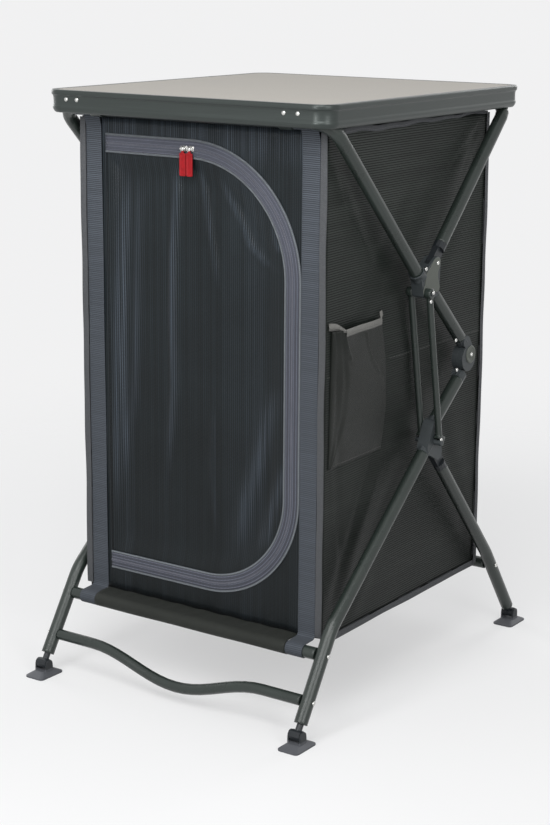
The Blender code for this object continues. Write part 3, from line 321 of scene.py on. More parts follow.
def link(name, mesh, material, smooth=True):
    """A mesh as a piece of one material."""
    mesh.materials.append(material)
    for polygon in mesh.polygons:
        polygon.use_smooth = smooth
    return set_down(name, mesh)


def joined(name, meshes, material, body):
    """Several meshes as one smooth piece on a body."""
    shape = bmesh.new()
    for mesh in meshes:
        shape.from_mesh(mesh)
        bpy.data.meshes.remove(mesh)
    piece = link(name, as_mesh(shape, name), material)
    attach(piece, body)
    return piece


def rivet_head(radius, height):
    profile = [(-0.0008, radius), (height * 0.25, radius), (height * 0.45, radius * 0.93)]
    profile += [(height * (0.45 + 0.55 * sin(a)), radius * 0.93 * cos(a)) for a in (0.5, 0.9, 1.25)]
    return profile + [(height, radius * 0.08)]


def bright_zinc():
    material, tree = finish_of("bright_zinc", ZINC, 0.24, 1.0)
    place = object_place(tree)
    cloud = cloudy(tree, place, 240.0)
    turns = cloudy(tree, place, 2200.0, 1.0)
    return connect(material, Base_Color=mottled(tree, cloud, ZINC, 0.75, 1.15),
                   Roughness=between(tree, cloud, 0.17, 0.34),
                   Normal=raise_skin(tree, turns, 0.00002))


ZINC_STEEL = bright_zinc()
LEG_RIVETS = ((-0.30491, 0.14189), (-0.34939, 0.07182))
REAR_LEG_RIVETS = ((0.29295, 0.14590),)
ARM_RIVETS = ((0.03211, 0.77800), (-0.00530, 0.73110), (-0.01090, 0.77270))
KNEE_RIVETS = ((0.16410, 0.59030), (0.11180, 0.57020))
KNEE_UPPER_RIVETS = ((0.10550, 0.62650),)
STRUT_RIVETS = ((-0.01010, 0.71570), (0.04000, 0.45440))
SIDES = (("left", -1), ("right", 1))
for side, sign in SIDES:
    for body, spots in (("front_legs", LEG_RIVETS), ("rear_legs", REAR_LEG_RIVETS)):
        heads = [turned(rivet_head(0.0042, 0.0026), (sign * (FRAME_PLANE + TUBE_SIDE), y, z), (sign, 0, 0))
                 for y, z in spots]
        joined(f"rivets_{body}_{side}", heads, ZINC_STEEL, body)


# Hub faces: a paler moulded plate with three lobes on the outer face of each upper hub, a lipped collar
# where the front arm goes in, and a raised disc on each knee. Rivets go through the lobes.
HUB_FACE, PLATE_FACE, KNEE_FACE, STRUT_FACE = 0.2960, 0.2974, 0.2970, 0.3096
PLATE_GREY = (0.105, 0.115, 0.100, 1.0)
PLATE_PLASTIC = moulded("plate_plastic", PLATE_GREY, 0.5)
HUB_OUTLINE = (
    (0.0325, 0.7885), (0.0400, 0.7865), (0.0432, 0.7790), (0.0408, 0.7715), (0.0352, 0.7640),
    (0.0345, 0.7540), (0.0372, 0.7440), (0.0410, 0.7370), (0.0415, 0.7310), (0.0365, 0.7262),
    (0.0290, 0.7262), (0.0190, 0.7290), (0.0080, 0.7262), (0.0020, 0.7215), (-0.0070, 0.7205),
    (-0.0140, 0.7262), (-0.0150, 0.7345), (-0.0095, 0.7425), (-0.0085, 0.7540), (-0.0075, 0.7640),
    (0.0040, 0.7700), (0.0130, 0.7780), (0.0220, 0.7868),
)
COLLAR = ((-0.0040, 0.0126), (-0.0052, 0.0134), (-0.0046, 0.0146), (-0.0030, 0.0150), (-0.0012, 0.0144),
          (0.0, 0.0136), (0.0100, 0.0138), (0.0112, 0.0144), (0.0124, 0.0136), (0.0130, 0.0120))
COLLAR_PLACE = (-0.0184, 0.7643)
DISC = ((-0.0010, 0.0165), (0.0006, 0.0165), (0.0012, 0.0158), (0.0012, 0.0125), (0.0006, 0.0118),
        (0.0006, 0.0062), (0.0012, 0.0055), (0.0012, 0.0010))
KNEE = (0.1641, 0.5903)


def skin(name, rows, material, wrap=False, caps=False):
    """A surface over rows of points. Its UVs are metres along (V) and across (U), so that a weave
    keeps its real size."""
    rows = np.asarray(rows, float)
    count, width = rows.shape[:2]
    last = width if wrap else width - 1
    ring = np.concatenate([rows, rows[:, :1]], axis=1) if wrap else rows
    u = np.zeros((count, last + 1))
    u[:, 1:] = np.cumsum(np.linalg.norm(np.diff(ring, axis=1), axis=2), axis=1)
    v = np.zeros(count)
    v[1:] = np.cumsum(np.linalg.norm(np.diff(rows, axis=0), axis=2).mean(axis=1))
    faces, spots = [], []
    for r in range(count - 1):
        for c in range(last):
            n = (c + 1) % width
            faces.append((r * width + c, r * width + n, (r + 1) * width + n, (r + 1) * width + c))
            spots += [(u[r, c], v[r]), (u[r, c + 1], v[r]),
                      (u[r + 1, c + 1], v[r + 1]), (u[r + 1, c], v[r + 1])]
    if caps:
        faces.append(tuple(range(width))[::-1])
        faces.append(tuple((count - 1) * width + c for c in range(width)))
        spots += [(0.0, 0.0)] * (2 * width)
    mesh = bpy.data.meshes.new(name)
    mesh.from_pydata(rows.reshape(-1, 3).tolist(), [], faces)
    layer = mesh.uv_layers.new(name="metres")
    layer.data.foreach_set("uv", np.array(spots, np.float32).ravel())
    return link(name, mesh, material)


def unit(ways):
    return ways / np.linalg.norm(ways, axis=1)[:, None]


def smooth_loop(points):
    """A closed outline with its corners cut twice, until it runs in curves."""
    for _ in range(2):
        points = [tuple(a[k] + (b[k] - a[k]) * share for k in (0, 1))
                  for a, b in zip(points, points[1:] + points[:1]) for share in (0.25, 0.75)]
    return points


def plate(name, outline, low, high, sign, material):
    """A flat plate with an eased edge, its outline in the side plane, from x = low to high."""
    edge = 0.0005
    outline = np.array(outline)
    ahead = np.roll(outline, -1, axis=0) - np.roll(outline, 1, axis=0)
    off = unit(np.stack([ahead[:, 1], -ahead[:, 0]], axis=1))
    if np.sum(off * (outline - outline.mean(axis=0))) < 0:
        off = -off
    rows = []
    for x, inset in ((low, 0.0), (high - edge, 0.0), (high - edge * 0.3, edge * 0.3), (high, edge),
                     (high, edge * 2.5)):
        rows.append([(sign * x, y, z) for y, z in outline - off * inset])
    return skin(name, rows, material, wrap=True, caps=True)


for side, sign in SIDES:
    face = plate("hub_plate_" + side, smooth_loop(HUB_OUTLINE), HUB_FACE, PLATE_FACE, sign, PLATE_PLASTIC)
    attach(face, "front_arms")
    arm_way = (0.0, sin(radians(45)), -cos(radians(45)))
    collar = turned(COLLAR, (sign * FRAME_PLANE, *COLLAR_PLACE), arm_way, 36)
    joined("hub_collar_" + side, [collar], HUB_PLASTIC, "front_arms")
    disc = turned(DISC, (sign * KNEE_FACE, *KNEE), (sign, 0, 0), 40)
    joined("knee_disc_" + side, [disc], PLATE_PLASTIC, "front_legs")
    for body, face_x, spots in (("front_arms", PLATE_FACE, ARM_RIVETS[:1]),
                                ("front_arms", STRUT_FACE + 0.0015, ARM_RIVETS[1:2]),
                                ("front_arms", PLATE_FACE + 0.0012, ARM_RIVETS[2:]),
                                ("front_legs", KNEE_FACE + 0.0010, KNEE_RIVETS[:1]),
                                ("front_legs", FRAME_PLANE + TUBE_SIDE, KNEE_RIVETS[1:]),
                                ("front_arms", FRAME_PLANE + TUBE_SIDE, KNEE_UPPER_RIVETS),
                                ("strut_" + side, STRUT_FACE - 0.0002, STRUT_RIVETS)):
        heads = [turned(rivet_head(0.0036, 0.0024), (sign * face_x, y, z), (sign, 0, 0)) for y, z in spots]
        joined(f"rivet_{body}_{side}_{round(spots[0][1] * 1000)}", heads, ZINC_STEEL, body)


# Feet: swivelling pads of dark grey nylon with a wide plate and two darker ears. A pin through the ears
# holds the knuckle in the leg's end.
PAD_GREY = (0.090, 0.094, 0.104, 1.0)
EAR_FOOT = 0.0125


def height_up(tree):
    place = put(tree, "TexCoord").outputs["Object"]
    return put(tree, "SeparateXYZ", {0: place}).outputs[2]


PAD_NYLON = moulded("pad_nylon", PAD_GREY, 0.5, 0.00009)
tree = PAD_NYLON.node_tree
moulded_colour = tree.nodes["Principled BSDF"].inputs["Base Color"].links[0].from_socket
at_ears = between(tree, height_up(tree), 0.0, 1.0, EAR_FOOT, EAR_FOOT + 0.002)
connect(PAD_NYLON, Base_Color=blend_colour(tree, at_ears, moulded_colour, TONGUE_BLACK))
dress(PAD_NYLON, *pair("foot_pad_front"), *pair("foot_pad_rear"))


# Worktop rim: extruded aluminium, anodised dark grey-green and brushed along its length, bent
# round the board in one piece. It has a bead at the top, a waist and a rolled lower edge.
RIM_GREY, RIM_WORN = (0.036, 0.045, 0.042, 1.0), (0.16, 0.17, 0.16, 1.0)
TOP_X, TOP_Y, TOP_CORNER = 0.300, 0.330, 0.034
TOP_Z, RIM_FOOT = 1.075, 1.035


def brushed_rim():
    material, tree = finish_of("brushed_rim", RIM_GREY, 0.34, 0.55, Specular_IOR_Level=0.4, Coat_Weight=0.3,
                               Coat_Roughness=0.3)
    long_streaks = cloudy(tree, object_place(tree, (6.0, 6.0, 1500.0)), 1.0, 2.0)
    fine_streaks = cloudy(tree, object_place(tree, (22.0, 22.0, 5200.0)), 1.0, 1.0)
    cloud = cloudy(tree, object_place(tree), 7.0)
    shade = worn_edges(tree, mottled(tree, long_streaks, RIM_GREY, 0.88, 1.12), RIM_WORN, 0.45, 0.0010)
    rough = maths(tree, 'ADD', between(tree, long_streaks, 0.33, 0.43), between(tree, cloud, -0.03, 0.05))
    return connect(material, Base_Color=shade, Roughness=rough,
                   Normal=raise_skin(tree, fine_streaks, 0.00003))


def softened(profile):
    """Rounds a closed profile's corners by cutting them twice."""
    for _ in range(2):
        eased_line = []
        for (xa, za), (xb, zb) in zip(profile, profile[1:] + profile[:1]):
            share = min(0.25, 0.0007 / max(hypot(xb - xa, zb - za), 1e-6))
            eased_line.append((xa + (xb - xa) * share, za + (zb - za) * share))
            eased_line.append((xb + (xa - xb) * share, zb + (za - zb) * share))
        profile = eased_line
    return profile


def bend(cx, cz, radius, start, end, steps):
    return [(cx + radius * cos(start + (end - start) * k / steps),
             cz + radius * sin(start + (end - start) * k / steps)) for k in range(steps + 1)]


def round_corners(low, high, corner, steps):
    """A rectangle's outline with rounded corners, given by two opposite corners, as flat points."""
    left, right, near, far = low[0] + corner, high[0] - corner, low[1] + corner, high[1] - corner
    spots = []
    for u, v, start in ((right, far, 0.0), (left, far, pi / 2), (left, near, pi), (right, near, 3 * pi / 2)):
        spots += bend(u, v, corner, start, start + pi / 2, steps)
    return spots


def rim_line(inset, z):
    half_x, half_y = TOP_X - inset, TOP_Y - inset
    return [(x, y, z) for x, y in round_corners((-half_x, -half_y), (half_x, half_y), TOP_CORNER - inset, 22)]


BOARD_FOOT = 1.0595
RIM_PROFILE = [
    (0.0012, TOP_Z), (0.0, TOP_Z - 0.0024), (0.0, TOP_Z - 0.008), (0.0018, TOP_Z - 0.0094),
    (0.0030, TOP_Z - 0.0118), (0.0033, TOP_Z - 0.0180), (0.0031, RIM_FOOT + 0.0140),
    (0.0024, RIM_FOOT + 0.0118), (0.0019, RIM_FOOT + 0.0095), (0.0022, RIM_FOOT + 0.0070),
    (0.0042, RIM_FOOT + 0.0028), (0.0070, RIM_FOOT), (0.0086, RIM_FOOT + 0.0008),
    (0.0060, RIM_FOOT + 0.0048), (0.0040, RIM_FOOT + 0.0094), (0.0062, RIM_FOOT + 0.0140),
    (0.0062, BOARD_FOOT - 0.0019), (0.0157, BOARD_FOOT - 0.0019), (0.0157, BOARD_FOOT - 0.0003),
    (0.0062, BOARD_FOOT - 0.0003), (0.0062, TOP_Z - 0.0015), (0.0120, TOP_Z - 0.0013), (0.0120, TOP_Z),
]
profile = softened(RIM_PROFILE)
profile.append(profile[0])
rim = skin("worktop_rim_metal", [rim_line(inset, z) for inset, z in profile], brushed_rim(), wrap=True)
rim_shape = bmesh.new()
rim_shape.from_mesh(rim.data)
bmesh.ops.remove_doubles(rim_shape, verts=rim_shape.verts, dist=0.00001)
bmesh.ops.recalc_face_normals(rim_shape, faces=rim_shape.faces)
rim_shape.to_mesh(rim.data)
rim_shape.free()
rim.data.set_sharp_from_angle(angle=radians(42))
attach(rim, "worktop")
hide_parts("worktop_rim")
RIM_WAIST, RIM_RIVETS = 0.0031, (-0.250, -0.226, 0.211, 0.2385)
heads = [turned(rivet_head(0.0040, 0.0024), (x, way * (TOP_Y - RIM_WAIST), 1.0590), (0, way, 0))
         for way in (-1, 1) for x in RIM_RIVETS]
joined("rim_rivets", heads, ZINC_STEEL, "worktop")


# Board: laminated fibreboard, matt and pale grey-beige with a fine mineral fleck, let into the rim.
# Its roughness varies in soft clouds.
BOARD_COLOUR = (0.440, 0.415, 0.376, 1.0)


def laminate():
    material, tree = finish_of("board_laminate", BOARD_COLOUR, 0.5, 0.0, Specular_IOR_Level=0.3)
    place = object_place(tree)
    cloud = cloudy(tree, place, 3.2, 5.0)
    fleck = cloudy(tree, place, 700.0, 2.0, 0.7)
    grit = put(tree, "TexVoronoi", {"Vector": place, "Scale": 950.0}).outputs["Distance"]
    shade = mottled(tree, cloud, BOARD_COLOUR, 0.93, 1.05)
    shade = blend_colour(tree, between(tree, fleck, 0.0, 0.35, 0.56, 0.70), shade, tinted(BOARD_COLOUR, 0.66))
    shade = blend_colour(tree, between(tree, fleck, 0.30, 0.0, 0.28, 0.42), shade, tinted(BOARD_COLOUR, 1.25))
    return connect(material, Base_Color=shade, Roughness=between(tree, cloud, 0.50, 0.64),
                   Normal=raise_skin(tree, grit, 0.00004))


dress(laminate(), "worktop_board")
dress(COAT, *pair("worktop_hook"))


# Cloth cabinet, front: close black-grey mesh, woven with thick upright threads, hemmed over the top
# bar and cut out in a D for the door. Sewn to the corner straps, it hangs straight.
MESH_DARK = (0.0035, 0.0048, 0.0052, 1.0)
MESH_THREAD = (0.0185, 0.026, 0.031, 1.0)
WALL_X, WALL_Y = 0.259, 0.2745
HEM_Z = 1.028
HEM_RING, HEM_HALF = 0.0133, 0.178
CLOTH_THICK, TAPE_THICK = 0.0008, 0.0009
WHOLE_LENGTH = 4.0
BAR_Y, BAR_Z = 0.2985, 1.0444
FRONT_BAR = (-0.30491, 0.14189)
REAR_BAR = (0.29295, 0.14590)
DOOR_LEFT, DOOR_RIGHT, DOOR_FOOT, DOOR_HEAD = -0.2055, 0.2115, 0.1985, 0.998
LOW_BEND, HIGH_BEND = 0.195, 0.2275


def thicken(piece, thickness):
    cloth = piece.modifiers.new("thickness", 'SOLIDIFY')
    cloth.thickness = thickness
    cloth.offset = 0.0
    return piece


def hang(piece, body="cabinet"):
    """A soft piece on a body, with a mesh of its own."""
    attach(piece, body)
    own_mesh(piece)
    return piece


def floor_z(y):
    """The height of the floor's canvas at y, on top of both crossbars."""
    share = (y - FRONT_BAR[0]) / (REAR_BAR[0] - FRONT_BAR[0])
    return FRONT_BAR[1] + (REAR_BAR[1] - FRONT_BAR[1]) * share + 0.0143


def uv_place(tree, turn=0.0):
    coords = put(tree, "UVMap", uv_map="metres").outputs[0]
    return put(tree, "Mapping", {0: coords, 2: (0.0, 0.0, turn)}).outputs[0]


def weave(tree, vector, length, pitch, gap, first, second, dark):
    """Woven threads as courses of long stitches: (colour, height from 0 in the gaps to 1)."""
    bricks = put(tree, "TexBrick",
                 {"Vector": vector, "Color1": first, "Color2": second, "Mortar": dark, "Scale": 1.0,
                  "Mortar Size": gap, "Mortar Smooth": 0.6, "Brick Width": length, "Row Height": pitch})
    return bricks.outputs["Color"], maths(tree, 'SUBTRACT', 1.0, bricks.outputs["Fac"])


def net(name, thread, dark, length, pitch, turn, gloss, streaks, highlight_tone, painted_highlight=""):
    """Coated mesh cloth: long threads over dark holes, crossed by a fine weft, with painted highlight streaks
    on its threads and painted shade that darkens it towards the bottom.
    """
    material, tree = finish_of(name, thread, 0.5, 0.0, Specular_IOR_Level=0.20, Sheen_Weight=0.02,
                               Sheen_Roughness=0.4)
    threads = uv_place(tree, turn)
    colour, height = weave(tree, threads, WHOLE_LENGTH, pitch, pitch * 0.22, tinted(thread, 0.72),
                           tinted(thread, 1.25), dark)
    along = put(tree, "SeparateXYZ", {0: threads}).outputs[0]
    beat = maths(tree, 'MULTIPLY', along, 2 * pi / length)
    cross = between(tree, maths(tree, 'SINE', beat), 0.45, 1.0, -0.9, 0.1)
    height = maths(tree, 'MULTIPLY', height, cross)
    colour = blend_colour(tree, cross, dark, colour)
    place = object_place(tree)
    cloud = cloudy(tree, place, 9.0, 4.0)
    colour = blend_colour(tree, between(tree, cloud, 0.0, 0.45), colour, dark)
    # Painted shade: the cloth turns towards its holes' dark colour lower down.
    colour = blend_colour(tree, between(tree, height_up(tree), 0.68, 0.0, 0.12, 0.92), colour, dark)
    # Painted highlights: paler streaks on the threads, in broad patches that a sheet's painted highlight
    # layer can raise.
    patches = cloudy(tree, object_place(tree, [0.06 * size for size in streaks]), 1.0, 2.0)
    broad = between(tree, patches, 0.0, 1.0, 0.47, 0.70)
    if painted_highlight:
        highlight_and_depth = put(tree, "Attribute", attribute_name=painted_highlight).outputs["Fac"]
        broad = maths(tree, 'MULTIPLY_ADD', broad, 0.16, highlight_and_depth)
    narrow = between(tree, cloudy(tree, object_place(tree, streaks), 1.0, 2.0, 0.5), 0.25, 1.0, 0.40, 0.64)
    drawn = maths(tree, 'MULTIPLY', maths(tree, 'MULTIPLY', broad, narrow), height)
    colour = blend_colour(tree, drawn, colour, highlight_tone)
    lumps = cloudy(tree, place, 420.0, 2.0)
    woven_skin = raise_skin(tree, height, 0.00016)
    return connect(material, Base_Color=colour, Roughness=between(tree, height, 0.8, gloss, 0.0, 1.0),
                   Normal=raise_skin(tree, lumps, 0.00006, 0.5, woven_skin))


# Its paler streak tone is a painted highlight.
FRONT_NET = net("front_mesh_cloth", MESH_THREAD, MESH_DARK, 0.0026, 0.0042, pi / 2, 0.27,
                (235.0, 1.0, 2.4), (0.098, 0.120, 0.152, 1.0), "painted_highlight")


def spaced(a, b, step):
    count = max(1, round(hypot(b[0] - a[0], b[1] - a[1]) / step))
    return [(a[0] + (b[0] - a[0]) * k / count, a[1] + (b[1] - a[1]) * k / count) for k in range(count)]


def door_line(inset, step=0.008, steps=34, left=0.0):
    """The door's D at an inset: from the hinge's foot round the free side to the hinge's head, as (x, z).
    Every inset gives the same number of points."""
    foot = (DOOR_LEFT + left, DOOR_FOOT + inset)
    low = (DOOR_RIGHT - LOW_BEND, DOOR_FOOT + LOW_BEND)
    high = (DOOR_RIGHT - HIGH_BEND, DOOR_HEAD - HIGH_BEND)
    head = (DOOR_LEFT + left, DOOR_HEAD - inset)
    line = spaced(foot, (low[0], foot[1]), step)
    line += bend(*low, LOW_BEND - inset, -pi / 2, 0.0, steps)[:-1]
    line += spaced((DOOR_RIGHT - inset, low[1]), (DOOR_RIGHT - inset, high[1]), step)
    line += bend(*high, HIGH_BEND - inset, 0.0, pi / 2, steps)[:-1]
    return line + spaced((high[0], head[1]), head, step) + [head]


def inside(point, outline):
    """True for a point within a closed outline."""
    x, z = point
    crossings = False
    for (xa, za), (xb, zb) in zip(outline, outline[1:] + outline[:1]):
        if (za > z) != (zb > z) and x < xa + (z - za) * (xb - xa) / (zb - za):
            crossings = not crossings
    return crossings


def cut_sheet(name, edge, hole, step_x, step_z, depth, material):
    """A sheet cut to an outline in the (x, z) plane, with a hole if given: depth(x, z) gives its y."""
    low = np.array(edge).min(axis=0)
    high = np.array(edge).max(axis=0)
    rims = [edge] + ([hole] if hole else [])
    near = np.array([p for rim in rims for p in rim])
    inner = []
    columns = max(2, round((high[0] - low[0]) / step_x))
    levels = max(2, round((high[1] - low[1]) / step_z))
    for i in range(1, columns):
        for j in range(1, levels):
            spot = (low[0] + (high[0] - low[0]) * i / columns, low[1] + (high[1] - low[1]) * j / levels)
            if not inside(spot, edge) or (hole and inside(spot, hole)):
                continue
            if np.min(np.hypot(near[:, 0] - spot[0], near[:, 1] - spot[1])) > 0.45 * min(step_x, step_z):
                inner.append(spot)
    points = [Vector(p) for p in inner]
    borders = []
    for rim in rims:
        start = len(points)
        points += [Vector(p) for p in rim]
        borders += [(start + k, start + (k + 1) % len(rim)) for k in range(len(rim))]
    verts, _, faces, *_ = geometry.delaunay_2d_cdt(points, borders, [], 0, 1e-6)
    kept = []
    for face in faces:
        centre = sum((verts[k] for k in face), Vector((0, 0))) / len(face)
        if inside(centre, edge) and not (hole and inside(centre, hole)):
            kept.append(tuple(face))
    mesh = bpy.data.meshes.new(name)
    mesh.from_pydata([(p.x, depth(p.x, p.y), p.y) for p in verts], [], kept)
    layer = mesh.uv_layers.new(name="metres")
    for loop in mesh.loops:
        point = verts[loop.vertex_index]
        layer.data[loop.index].uv = (point.x + 1.0, point.y)
    return link(name, mesh, material)


def rectangle(x_low, x_high, z_low, z_high):
    a, b, c, d = (x_low, z_low), (x_high, z_low), (x_high, z_high), (x_low, z_high)
    return [spot for pair_of in ((a, b), (b, c), (c, d), (d, a)) for spot in spaced(*pair_of, 0.012)]


def eased(value, low, high):
    share = min(1.0, max(0.0, (value - low) / (high - low)))
    return share * share * (3 - 2 * share)


def front_depth(x, z):
    """The fixed part hangs nearly flat: it puckers a little at the zip and fans above the floor seam."""
    ripple = 0.0007 * sin(x * 150 + 2.0 * sin(z * 9)) * eased(z, 0.16, 0.20)
    frill = 0.0011 * sin(x * 410) * (1 - eased(z, 0.165, 0.195))
    return -WALL_Y + 0.0012 + ripple + frill


def mix_share(piece, share):
    """Writes a painted highlight's share at each point of a sheet, for its material to read."""
    layer = piece.data.attributes.new("painted_highlight", 'FLOAT', 'POINT')
    layer.data.foreach_set("value", [share(vert.co.x, vert.co.z) for vert in piece.data.vertices])


front_edge = rectangle(-WALL_X, WALL_X, floor_z(-WALL_Y) + 0.0005, HEM_Z)
front = cut_sheet("front_mesh", front_edge, door_line(0.010), 0.010, 0.012, front_depth, FRONT_NET)
# Painted light: the top band of the front, just under the worktop, gets a painted highlight.
mix_share(front, lambda x, z: 0.55 * eased(z, 0.95, 1.01) * (0.75 + 0.25 * sin(x * 90 + 2)))
thicken(front, CLOTH_THICK)
hang(front)
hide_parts("front_panel")


def sleeve(name, centre, start, end, tail, material):
    """Cloth folded round a top bar and sewn down: an arc in the side plane from start to end, then a tail."""
    line = bend(*centre, HEM_RING, start, end, 26) + tail
    rows = [[(-HEM_HALF + 2 * HEM_HALF * k / 44, y, z) for k in range(45)] for y, z in line]
    return thicken(skin(name, rows, material), TAPE_THICK)


front_sleeve = hang(sleeve("front_top_hem", (-BAR_Y, BAR_Z), radians(250), 0.0,
                           [(-WALL_Y + 0.0022, HEM_Z), (-WALL_Y + 0.0024, 1.010)], FRONT_NET))


# Door: the same mesh cloth, cut to the D inside the zip. It is slack, so it hangs from the zip in
# soft upright folds that fan out from the sliders and from the lower free corner.
FOLDS = (
    # each crest's line as (x, z) from its head to its foot, its half width and its strength, which sets its
    # depth and its painted highlight
    (((-0.161, 0.945), (-0.175, 0.797), (-0.184, 0.643), (-0.186, 0.541), (-0.193, 0.397),
      (-0.197, 0.270)), 0.0110, 0.60),
    (((-0.131, 0.945), (-0.139, 0.850), (-0.146, 0.699), (-0.156, 0.529), (-0.169, 0.454),
      (-0.175, 0.350)), 0.0090, 0.45),
    (((-0.051, 0.965), (-0.055, 0.906), (-0.064, 0.797), (-0.066, 0.682), (-0.063, 0.563),
      (-0.070, 0.469), (-0.080, 0.370)), 0.0062, 0.70),
    (((-0.001, 0.960), (0.010, 0.887), (0.023, 0.815), (0.033, 0.740)), 0.0048, 0.45),
    (((0.040, 0.945), (0.058, 0.905), (0.082, 0.869), (0.102, 0.827), (0.135, 0.802),
      (0.178, 0.786)), 0.0060, 0.45),
    (((0.164, 0.904), (0.154, 0.875), (0.159, 0.835), (0.174, 0.819)), 0.0042, 0.80),
    (((0.165, 0.600), (0.125, 0.458), (0.095, 0.372), (0.073, 0.250)), 0.0150, 0.60),
    (((0.188, 0.460), (0.152, 0.367), (0.130, 0.280)), 0.0110, 0.55),
    (((0.024, 0.540), (0.020, 0.416), (0.032, 0.280)), 0.0045, 0.25),
)
FOLD_HIGH, TAPE_WIDE = 0.0075, 0.030


def near_line(u, v, line):
    """How far (u, v) is from a bent line, how far along that is from 0 to 1, and which side of it."""
    best = (9.0, 0.0, 1.0)
    for k, ((ua, va), (ub, vb)) in enumerate(zip(line, line[1:])):
        du, dv = ub - ua, vb - va
        share = min(1.0, max(0.0, ((u - ua) * du + (v - va) * dv) / (du * du + dv * dv)))
        gap = hypot(u - ua - share * du, v - va - share * dv)
        if gap < best[0]:
            best = (gap, (k + share) / (len(line) - 1), 1.0 if (u - ua) * dv > (v - va) * du else -1.0)
    return best


def crest_share(x, z, line, half):
    """How close a point is to a fold's crest, 1 on it, fading towards the two ends of its line."""
    gap, along, _ = near_line(x, z, line)
    return float(np.exp(-(gap / half) ** 2)) * eased(along, 0.0, 0.15) * (1 - eased(along, 0.75, 1.0))


def fold_depth(x, z):
    """How far the folds stand forward: each crest with a shallow valley on both its sides."""
    depth = 0.0
    for line, half, highlight_and_depth in FOLDS:
        crest, valley = crest_share(x, z, line, 1.5 * half), crest_share(x, z, line, 3.2 * half)
        depth += FOLD_HIGH * highlight_and_depth * (crest - 0.35 * valley)
    return depth


def door_depth(x, z):
    """Folds go in from the zip's plane, more in the middle of the door than at its sewn edge."""
    edge = min(x - DOOR_LEFT, DOOR_RIGHT - TAPE_WIDE - x, z - DOOR_FOOT - 0.028, DOOR_HEAD - 0.028 - z)
    for radius, cz, way in ((LOW_BEND, DOOR_FOOT + LOW_BEND, -1), (HIGH_BEND, DOOR_HEAD - HIGH_BEND, 1)):
        cx = DOOR_RIGHT - radius
        if x > cx and (z - cz) * way > 0:
            edge = min(edge, radius - TAPE_WIDE - hypot(x - cx, z - cz))
    slack = eased(edge, 0.0, 0.045)
    fine = 0.00022 * sin(x * 260 + 3 * sin(z * 6))
    forward = min(0.0100, max(-0.0030, fold_depth(x, z)))
    return -WALL_Y + 0.0012 + slack * (fine - forward + 0.0085)


door_edge = door_line(0.026, left=0.0004)
door = cut_sheet("door_mesh", door_edge, None, 0.006, 0.009, door_depth, FRONT_NET)
# Painted highlights along each fold's crest, as strong as the fold.
mix_share(door, lambda x, z: sum(highlight_and_depth * crest_share(x, z, line, half) for line, half, highlight_and_depth in FOLDS))
thicken(door, CLOTH_THICK)
hang(door, "door")
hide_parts("door_panel")


# Zip: two grey tapes sewn round the D, the outer one to the cabinet and the inner one to the door,
# each with a lighter bound edge, a row of stitches and its half of the coil.
TAPE_GREY = (0.134, 0.143, 0.182, 1.0)
BINDING_GREY = (0.185, 0.203, 0.222, 1.0)
STITCH_PITCH, STITCH_WIDE = 0.0032, 0.0007


def stitch_mask(tree, along, across, at):
    """1 on a row of stitches that runs along a strap at a place across it."""
    off = maths(tree, 'ABSOLUTE', maths(tree, 'SUBTRACT', across, at))
    line = between(tree, off, 1.0, 0.0, STITCH_WIDE * 0.5, STITCH_WIDE)
    wave = maths(tree, 'SINE', maths(tree, 'MULTIPLY', along, 2 * pi / STITCH_PITCH))
    return maths(tree, 'MULTIPLY', line, between(tree, wave, 0.0, 1.0, -0.55, -0.15))


def strap_cloth(name, colour, dark_share, pitch, seams, thread, rib=0.0042, low=0.55):
    """Ribbed strap: V runs across the rows in metres and U along. Seams are places across it."""
    material, tree = finish_of(name, colour, 0.62, 0.0, Specular_IOR_Level=0.25, Sheen_Weight=0.05,
                               Sheen_Roughness=0.5)
    coords = uv_place(tree)
    parts = put(tree, "SeparateXYZ", {0: coords})
    shade, height = weave(tree, uv_place(tree, pi / 2), rib, pitch, pitch * 0.22, tinted(colour, 0.84),
                          tinted(colour, 1.14), tinted(colour, dark_share))
    cloud = cloudy(tree, object_place(tree), 30.0, 4.0)
    shade = blend_colour(tree, between(tree, cloud, 0.0, 0.30), shade, tinted(colour, 0.72))
    # Painted shade: lower down, the strap turns towards low times its colour.
    lower = between(tree, height_up(tree), 0.5, 0.0, 0.70, 0.97)
    shade = blend_colour(tree, lower, shade, tinted(colour, low))
    normal = raise_skin(tree, height, 0.00030)
    for at in seams:
        mask = stitch_mask(tree, parts.outputs[0], parts.outputs[1], at)
        shade = blend_colour(tree, mask, shade, thread)
        normal = raise_skin(tree, mask, 0.00025, 1.0, normal)
    return connect(material, Base_Color=shade, Roughness=between(tree, height, 0.82, 0.62, 0.0, 1.0),
                   Normal=normal)


def band(name, profile, material):
    """A strip along the door's edge: profile gives (inset, height in front of the wall) across it."""
    rows = [[(x, -WALL_Y - height, z) for x, z in door_line(inset, left=0.0004)] for inset, height in profile]
    return skin(name, rows, material)


# A low of 0.14 makes the tape much darker lower down: painted shade.
ZIP_TAPE_CLOTH = strap_cloth("zip_tape_cloth", TAPE_GREY, 0.55, 0.0013, (0.0045, 0.0105),
                             tinted(TAPE_GREY, 1.8), low=0.14)
BINDING_CLOTH = strap_cloth("binding_cloth", BINDING_GREY, 0.6, 0.0015, (0.0030,), tinted(BINDING_GREY, 1.7))
tape_frame = band("zip_tape_outer", ((0.0012, 0.0004), (0.0048, 0.0007), (0.0095, 0.0006), (0.0125, 0.0009),
                                     (0.0144, 0.0014)), ZIP_TAPE_CLOTH)
hang(thicken(tape_frame, TAPE_THICK))
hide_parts("zip_tape_frame")
tape_door = band("zip_tape_inner", ((0.0158, 0.0014), (0.0178, 0.0009), (0.0205, 0.0006), (0.0250, 0.0007),
                                    (0.0290, 0.0004)), ZIP_TAPE_CLOTH)
hang(thicken(tape_door, TAPE_THICK), "door")
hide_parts("zip_tape_door")
